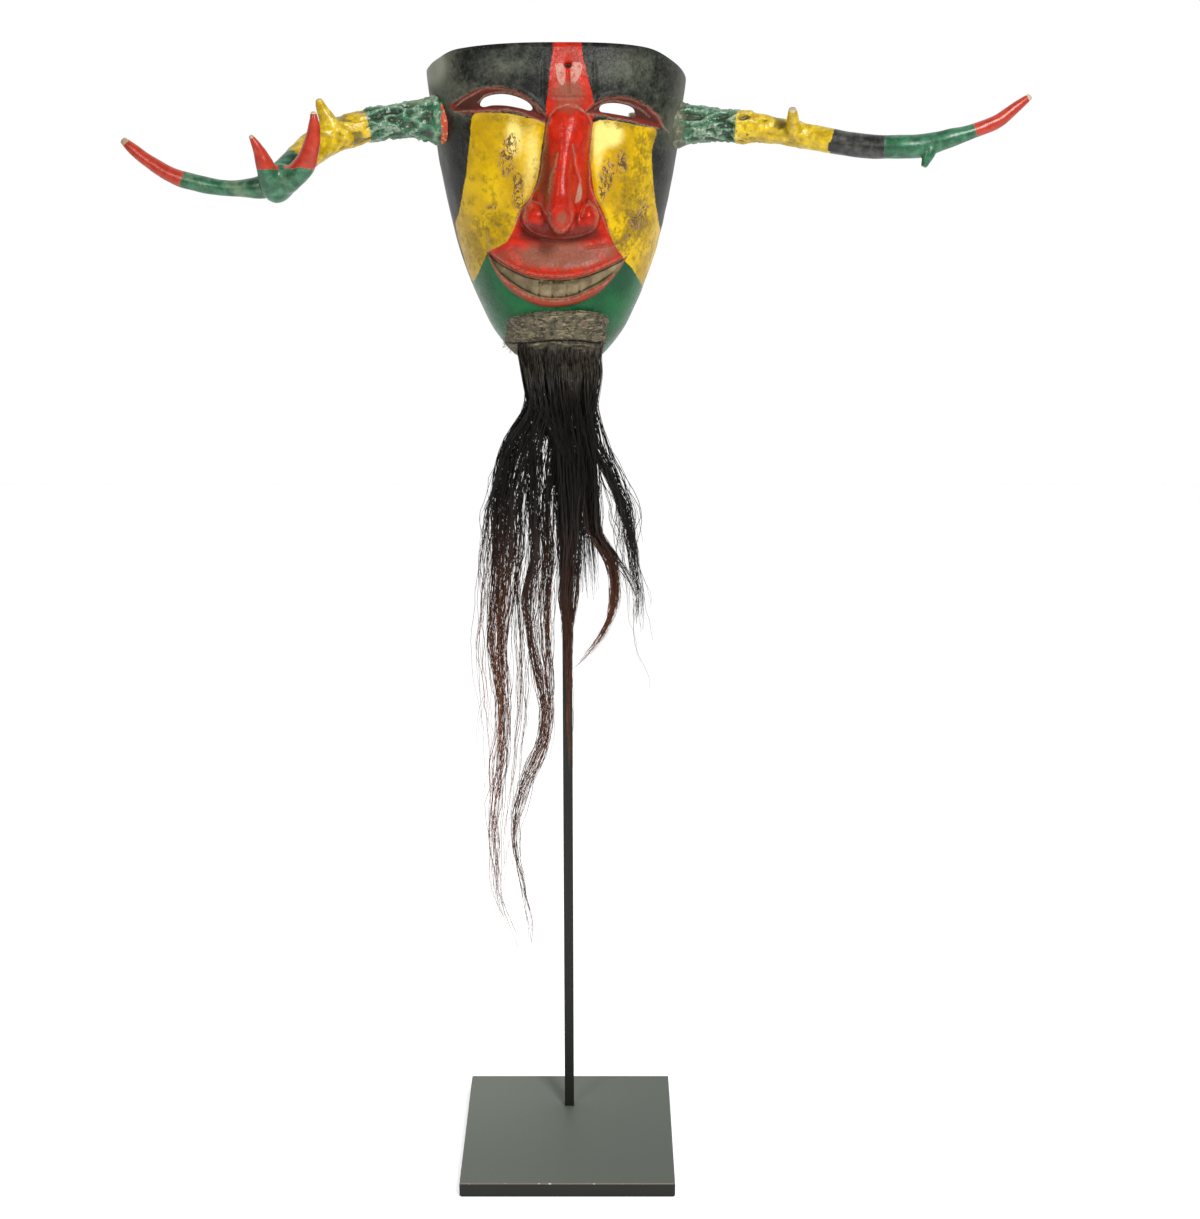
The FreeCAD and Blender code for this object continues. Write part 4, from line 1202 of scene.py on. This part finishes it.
def make_hide_fibres():
    """Short stiff fibres standing off the dry skin, most of them along its edge."""
    rng = np.random.default_rng(11)
    count, steps = 420, 6
    ring = rounded(HIDE_EDGE, 14)
    at = ring[rng.integers(0, len(ring), count)]
    inward = np.where(rng.random(count) < 0.75, rng.uniform(0.0, 0.10, count), rng.uniform(0.1, 0.95, count))
    start = at + (HIDE_MIDDLE - at) * inward[:, None]
    turn = np.arctan2(at[:, 1] - HIDE_MIDDLE[1], at[:, 0] - HIDE_MIDDLE[0]) + rng.normal(0, 0.9, count)
    t = np.linspace(0, 1, steps)[None, :]
    length = rng.uniform(1.5, 4.5, count)[:, None]
    x = start[:, :1] + np.cos(turn)[:, None] * length * t
    z = start[:, 1:] + np.sin(turn)[:, None] * length * t - 1.2 * t ** 2
    lift = 2.6 + rng.uniform(0.4, 2.2, count)[:, None] * np.sin(t * 2.2) + 0.5 * rng.normal(0, 1, (count, 1))
    y = -skin_depth(x, z) - np.clip(lift, 1.0, None)
    paths = np.stack([x, y, z], -1)
    shares = np.broadcast_to(t, z.shape)
    fibres = hair_mesh("hide_fibres", paths, shares, rng.uniform(0.12, 0.22, count), rng.random(count))
    fibres.data.materials.append(hide_fibre_paint())
    bend_at_seam(fibres)


def hide_fibre_paint():
    p = Paint("hide_fibre")
    shade = p.mix(p.value("auburn"), (0.060, 0.050, 0.034), (0.260, 0.225, 0.160))
    colour = p.fade(shade, (0.02, 0.017, 0.012), p.noise(3.0, 3.0), 0.5, 0.3, 0.6)
    return p.set(Base_Color=colour, Roughness=0.8)


def hide_skin_paint():
    p = Paint("dry_hide")
    fine, medium = p.noise(1.2, 5.0, 0.7), p.noise(5.0, 4.0, 0.6)
    fibre = p.noise(1.6, 4.0, 0.65, p.stretched(0.22, 0.4, 1.0), 1.2)
    colour = p.fade((0.026, 0.022, 0.012), (0.115, 0.098, 0.056), medium, 0.38, 0.62)
    colour = p.fade(colour, (0.31, 0.26, 0.150), fibre, 0.50, 0.64, 0.85)
    colour = p.fade(colour, (0.018, 0.015, 0.010), fine, 0.44, 0.34, 0.8)
    colour = p.fade(colour, (0.012, 0.010, 0.007), abs(p.value("seam")), 1.4, 0.5, 0.9)
    return p.set(Base_Color=colour, Roughness=0.85, Normal=p.bump(fibre + fine * 0.8, 1.0, 0.8))


HAIR_Y = -64.0
# Bundles of the beard: number of hairs, height at which they start to end, how frizzy, how auburn,
# and their outline as rows of height, left edge and right edge.
BUNDLES = {
    "left_outer": (200, -345, 1.9, 0.75, [
        (-174, -34, -17), (-199, -31, -11), (-221, -27, -5), (-234, -36, -7), (-247, -45, -13),
        (-260, -51, -18), (-290, -56, -28), (-330, -57, -30), (-373, -62, -36), (-407, -63, -42),
        (-458, -56, -44), (-492, -55, -45), (-527, -59, -50), (-562, -62, -55), (-597, -62, -54),
        (-627, -58, -53), (-655, -48, -45), (-678, -38, -36)]),
    "between": (20, -480, 2.0, 0.6, [
        (-174, -30, -10), (-221, -26, -8), (-262, -45, -18), (-373, -42, -27), (-440, -38, -29),
        (-500, -45, -38), (-560, -47, -42), (-625, -55, -50)]),
    "left_inner": (165, -372, 1.9, 0.6, [
        (-174, -29, 1), (-199, -26, 1), (-221, -24, 6), (-244, -30, 2), (-297, -29, -6), (-340, -27, -6),
        (-374, -35, -8), (-399, -33, -8), (-424, -29, -8), (-467, -20, -10), (-493, -22, -12),
        (-510, -30, -17), (-527, -37, -26), (-562, -44, -39), (-589, -43, -39), (-628, -35, -32),
        (-650, -31, -29), (-678, -29, -28)]),
    "core": (430, -318, 1.0, 0.12, [
        (-174, -26, 29), (-199, -25, 27), (-221, -22, 25), (-239, -14, 26), (-258, -10, 28),
        (-298, -8, 29), (-331, -6, 29), (-350, -3, 31), (-375, 0, 32)]),
    "middle": (170, -395, 1.0, 0.6, [
        (-174, -15, 13), (-221, -12, 12), (-258, -10, 16), (-324, -8, 15), (-345, -7, 12), (-375, -7, 10),
        (-392, -4, 8), (-408, -3, 6), (-442, -1, 5), (-476, 0, 4), (-520, 2, 5)]),
    "right_lock": (85, -335, 1.7, 0.25, [
        (-174, 17, 31), (-199, 18, 28), (-222, 17, 25), (-240, 17, 26), (-256, 21, 31), (-272, 29, 41),
        (-285, 35, 48), (-299, 43, 54), (-319, 49, 56), (-339, 52, 58), (-376, 56, 61), (-402, 57, 61)]),
    "curl": (110, -395, 1.5, 1.3, [
        (-174, 6, 24), (-221, 6, 21), (-285, 11, 28), (-318, 16, 29), (-332, 25, 34), (-343, 31, 40),
        (-359, 36, 42), (-376, 37, 41), (-393, 33, 38), (-407, 27, 31), (-417, 19, 23), (-427, 11, 14),
        (-432, 4, 8)]),
    "spur": (70, -340, 1.5, 0.15, [
        (-174, 12, 29), (-221, 12, 24), (-285, 13, 28), (-318, 16, 29), (-329, 21, 35), (-342, 33, 43),
        (-353, 42, 50), (-364, 50, 56), (-378, 56, 60)]),
    "wisps_left": (60, -330, 2.6, 1.0, [
        (-174, -33, -20), (-221, -27, -15), (-250, -47, -25), (-300, -61, -40), (-373, -69, -45),
        (-430, -72, -50), (-500, -69, -48), (-575, -69, -50)]),
    "wisps_right": (60, -330, 3.2, 0.6, [
        (-174, 15, 30), (-221, 15, 26), (-255, 22, 36), (-300, 38, 56), (-350, 44, 64), (-400, 48, 73),
        (-450, 56, 84)]),
}
# Half of the beard's thickness at each height.
THICKNESS = [
    (-174, 1.0), (-190, 4), (-204, 8), (-223, 10), (-256, 12.5), (-309, 12.5), (-350, 8), (-380, 6.5),
    (-460, 5.5), (-560, 4.5), (-650, 2.5)]


def hair_paths(rng, count, ends, frizz, rows, steps=30):
    """Hairs of one bundle, as points along each, and how far down its own length each point is."""
    rows = np.array(rows, float)
    top, bottom = rows[0, 0], rows[-1, 0]
    clumps = max(4, count // 14)
    centre = rng.uniform(-0.92, 0.92, (clumps, 2))
    which = rng.integers(0, clumps, count)
    spread = rng.normal(0, 0.30, (count, 2))
    slant = rng.normal(0, 0.85, clumps)[which, None] + rng.normal(0, 0.3, (count, 1))
    last = ends + (bottom - ends) * rng.random(count) ** 2.3
    start = top - 1.5 - 10 * rng.random(count) ** 2 - 9 * np.abs(centre[which, 0]) ** 2
    t = np.linspace(0, 1, steps)[None, :]
    z = start[:, None] + (last - start)[:, None] * t
    left = np.interp(-z, -rows[:, 0], rows[:, 1])
    right = np.interp(-z, -rows[:, 0], rows[:, 2])
    loose = through([(-480, 0.35), (-330, 0.55), (-235, 1.0), (-174, 1.3)], z)
    across = np.clip(centre[which, 0, None] + spread[:, :1] * loose, -1.15, 1.15)
    across = 1.12 * np.tanh((across + slant * ramp(z, -272, -190)) / 1.12)
    inward = centre[which, 1, None] + spread[:, 1:] * loose
    place = on_front(which[:, None] * 31.0 + 0 * z, z)
    own = on_front(np.arange(count)[:, None] * 17.0 + 0 * z, z)
    sway = ramp(z, -215, -290)
    x = (left + right) / 2 + (right - left) / 2 * across
    stray = noise(own, 34.0, 103) * 2.2 + noise(own, 11.0, 107) * 0.6
    x = x + sway * (noise(place, 46.0, 101) * 2.0 + stray * frizz)
    y = HAIR_Y + through(THICKNESS[::-1], z) * inward
    y = y + sway * (noise(place, 40.0, 109) * 1.6 + noise(own, 26.0, 113) * 0.9)
    # at the root the hair lies on the flap
    on_flap = ramp(z, -198, -184)
    laid = -skin_depth(x, np.maximum(z, -190)) - 3.6 - 0.9 * np.abs(inward)
    y = y + (laid - y) * on_flap
    return np.stack([x, y, z], -1), np.broadcast_to(t, z.shape)


def hair_mesh(name, paths, shares, radii, tints):
    """Three-sided hairs along paths that hang mostly in the x-z plane, closed at both ends."""
    count, steps, _ = paths.shape
    tangent = np.gradient(paths, axis=1)
    tangent /= np.linalg.norm(tangent, axis=2)[..., None] + 1e-9
    side = np.cross(tangent, (0.0, 1.0, 0.0))
    side /= np.linalg.norm(side, axis=2)[..., None] + 1e-9
    up = np.cross(tangent, side)
    width = radii[:, None] * (1 - 0.6 * shares ** 4)
    verts = np.stack([paths + width[..., None] * (math.cos(a) * side + math.sin(a) * up)
                      for a in np.arange(3) * 2 * math.pi / 3 + 0.5], 2)
    quads = grid_faces(steps, 3, wrap=True)
    base = (np.arange(count) * steps * 3)[:, None, None]
    faces = (quads[None] + base).reshape(-1, 4).tolist()
    ends = np.array([[0, 2, 1], [steps * 3 - 3, steps * 3 - 2, steps * 3 - 1]])
    faces += (ends[None] + base).reshape(-1, 3).tolist()
    hair = new_object(name, to_world(verts.reshape(-1, 3)), faces)
    set_values(hair, auburn=np.repeat(tints, steps * 3), height=verts.reshape(-1, 3)[:, 2])
    return hair


def hair_paint():
    p = Paint("beard_hair")
    fine = p.noise(2.5, 3.0, 0.6)
    streak = p.noise(3.0, 3.0, 0.6, p.stretched(1.0, 1.0, 0.06))
    height = p.value("height")
    colour = p.fade((0.0035, 0.0032, 0.003), (0.015, 0.013, 0.012), streak, 0.35, 0.65)
    dust = p.step(height, -225.0, -186.0) * p.step(streak, 0.35, 0.65, 0.05, 0.9)
    colour = p.mix(dust, colour, (0.080, 0.066, 0.048))
    warm = p.value("auburn") * p.step(height, -270.0, -500.0) * p.step(fine, 0.25, 0.65, 0.45, 1.0)
    colour = p.mix(warm, colour, (0.270, 0.078, 0.022))
    return p.set(Base_Color=colour, Roughness=0.36, Specular_IOR_Level=0.3, Normal=p.bump(fine, 0.2, 0.1))


# The pieces of the beard: their bundles, and the CAD nodes that they replace.
HAIR_PIECES = {
    "hair_left": (("left_outer", "between", "left_inner", "wisps_left"),
                  ("lock_left_outer", "lock_left_inner")),
    "hair_middle": (("core", "middle"), ("hair_core", "lock_middle")),
    "hair_right": (("right_lock", "curl", "spur", "wisps_right"), ("lock_right", "lock_right_curl")),
}


def make_beard():
    rng = np.random.default_rng(7)
    paint = hair_paint()
    for name, (bundles, nodes) in HAIR_PIECES.items():
        paths, shares, tints = [], [], []
        for bundle in bundles:
            count, ends, frizz, warmth, rows = BUNDLES[bundle]
            path, share = hair_paths(rng, count, ends, frizz, rows)
            paths.append(path)
            shares.append(share)
            tints.append(np.clip(rng.normal(warmth, 0.35, count), 0, 1) ** 1.5)
        paths, shares, tints = np.concatenate(paths), np.concatenate(shares), np.concatenate(tints)
        radii = rng.uniform(0.17, 0.30, len(paths))
        finish_piece(hair_mesh(name, paths, shares, radii, tints), "beard", "hair", paint, *nodes)


# ---- stand, nails and tacks --------------------------------------------------
def dress(paint, *nodes):
    for node in nodes:
        mesh = frame["nodes"][node].data
        mesh.materials.clear()
        mesh.materials.append(paint)


def steel_paint():
    """Satin black powder coat, chipped along the front of the plate, with painted light on its top."""
    p = Paint("black_powder_coat")
    fine, broad, chip = p.noise(0.8, 3.0, 0.6), p.noise(60.0, 3.0), p.noise(6.0, 4.0, 0.75)
    x, y, z = p.axes()
    (left, front, _), (right, back, top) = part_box("base_plate")
    colour = p.mix(broad, (0.011, 0.012, 0.010), (0.018, 0.020, 0.016))
    # painted light: the top of the plate lighter, less so towards the right and the front
    painted_top_light = p.fade((0.125, 0.145, 0.118), (0.185, 0.208, 0.175), fine, 0.25, 0.75)
    painted_top_light = p.fade(painted_top_light, (0.075, 0.085, 0.070), x, left, right, 0.5)
    painted_top_light = p.fade(painted_top_light, (0.075, 0.085, 0.070), y, back, front, 0.5)
    colour = p.fade(colour, painted_top_light, abs(z - top), 0.0005, 0.0002, 0.95)
    edge = p.step(y, front + 0.0014, front + 0.0006) * p.step(z, top - 0.0009, top - 0.0003)
    colour = p.mix(edge * 0.8, colour, (0.27, 0.19, 0.15))
    colour = p.mix(edge * p.step(chip, 0.60, 0.66), colour, (0.80, 0.76, 0.70))
    colour = p.fade(colour, (0.30, 0.29, 0.24), p.noise(2.6, 2.0, 0.8), 0.76, 0.80, 0.8)
    return p.set(Base_Color=colour, Roughness=fine * 0.15 + 0.42,
                 Specular_IOR_Level=0.25, Normal=p.bump(fine, 0.3, 0.06))


def plain(name, dark, light, size, rough, depth_mm, metal=0.0):
    """Finish with fine variation in colour and surface."""
    p = Paint(name)
    fine = p.noise(size, 4.0, 0.65)
    return p.set(Base_Color=p.fade(dark, light, fine, 0.3, 0.7), Metallic=metal,
                 Roughness=fine * 0.2 + rough, Normal=p.bump(fine, 0.7, depth_mm))


def dress_stand():
    dress(steel_paint(), "base_plate", "stand_rod", "hanger_arm", "hanger_crossbar",
          "saddle_left", "saddle_right")
    dress(plain("black_felt", (0.008, 0.008, 0.008), (0.022, 0.022, 0.022), 0.9, 0.85, 0.3), "base_felt")
    dress(plain("black_rubber", (0.012, 0.012, 0.012), (0.020, 0.020, 0.020), 1.5, 0.6, 0.05),
          "saddle_sleeve_left", "saddle_sleeve_right", "chin_pad")
    dress(plain("zinc", (0.50, 0.50, 0.50), (0.66, 0.66, 0.65), 1.0, 0.3, 0.03, 1.0), "rod_screw")
    dress(plain("old_iron", (0.10, 0.06, 0.04), (0.26, 0.20, 0.16), 0.8, 0.5, 0.08, 0.8),
          "antler_nail_left", "antler_nail_right", "band_tacks")


# ---- the whole object --------------------------------------------------------
make_camera()
make_floor()
make_world()
make_lamp("key", (0.62, -1.45, 1.75), (0.40, 0.55), 34.0)
make_lamp("fill", (-1.0, -1.5, 1.55), (0.30, 0.60), 9.0)
make_face()
horn = antler_paint()
make_antler("left", LEFT_BEAM, LEFT_BANDS, LEFT_TINES, [LEFT_PALM], 4.4, horn)
make_antler("right", RIGHT_BEAM, RIGHT_BANDS, RIGHT_TINES, [], 2.2, horn)
make_filler("left", -1, LEFT_COLLAR,
            paste("red_paste", (0.42, 0.040, 0.016), (0.50, 0.37, 0.07), (0.05, 0.02, 0.012)))
make_filler("right", 1, RIGHT_COLLAR,
            paste("olive_paste", (0.075, 0.085, 0.045), (0.20, 0.19, 0.13), (0.018, 0.020, 0.012)))
make_hide()
make_hide_fibres()
make_beard()
dress_stand()
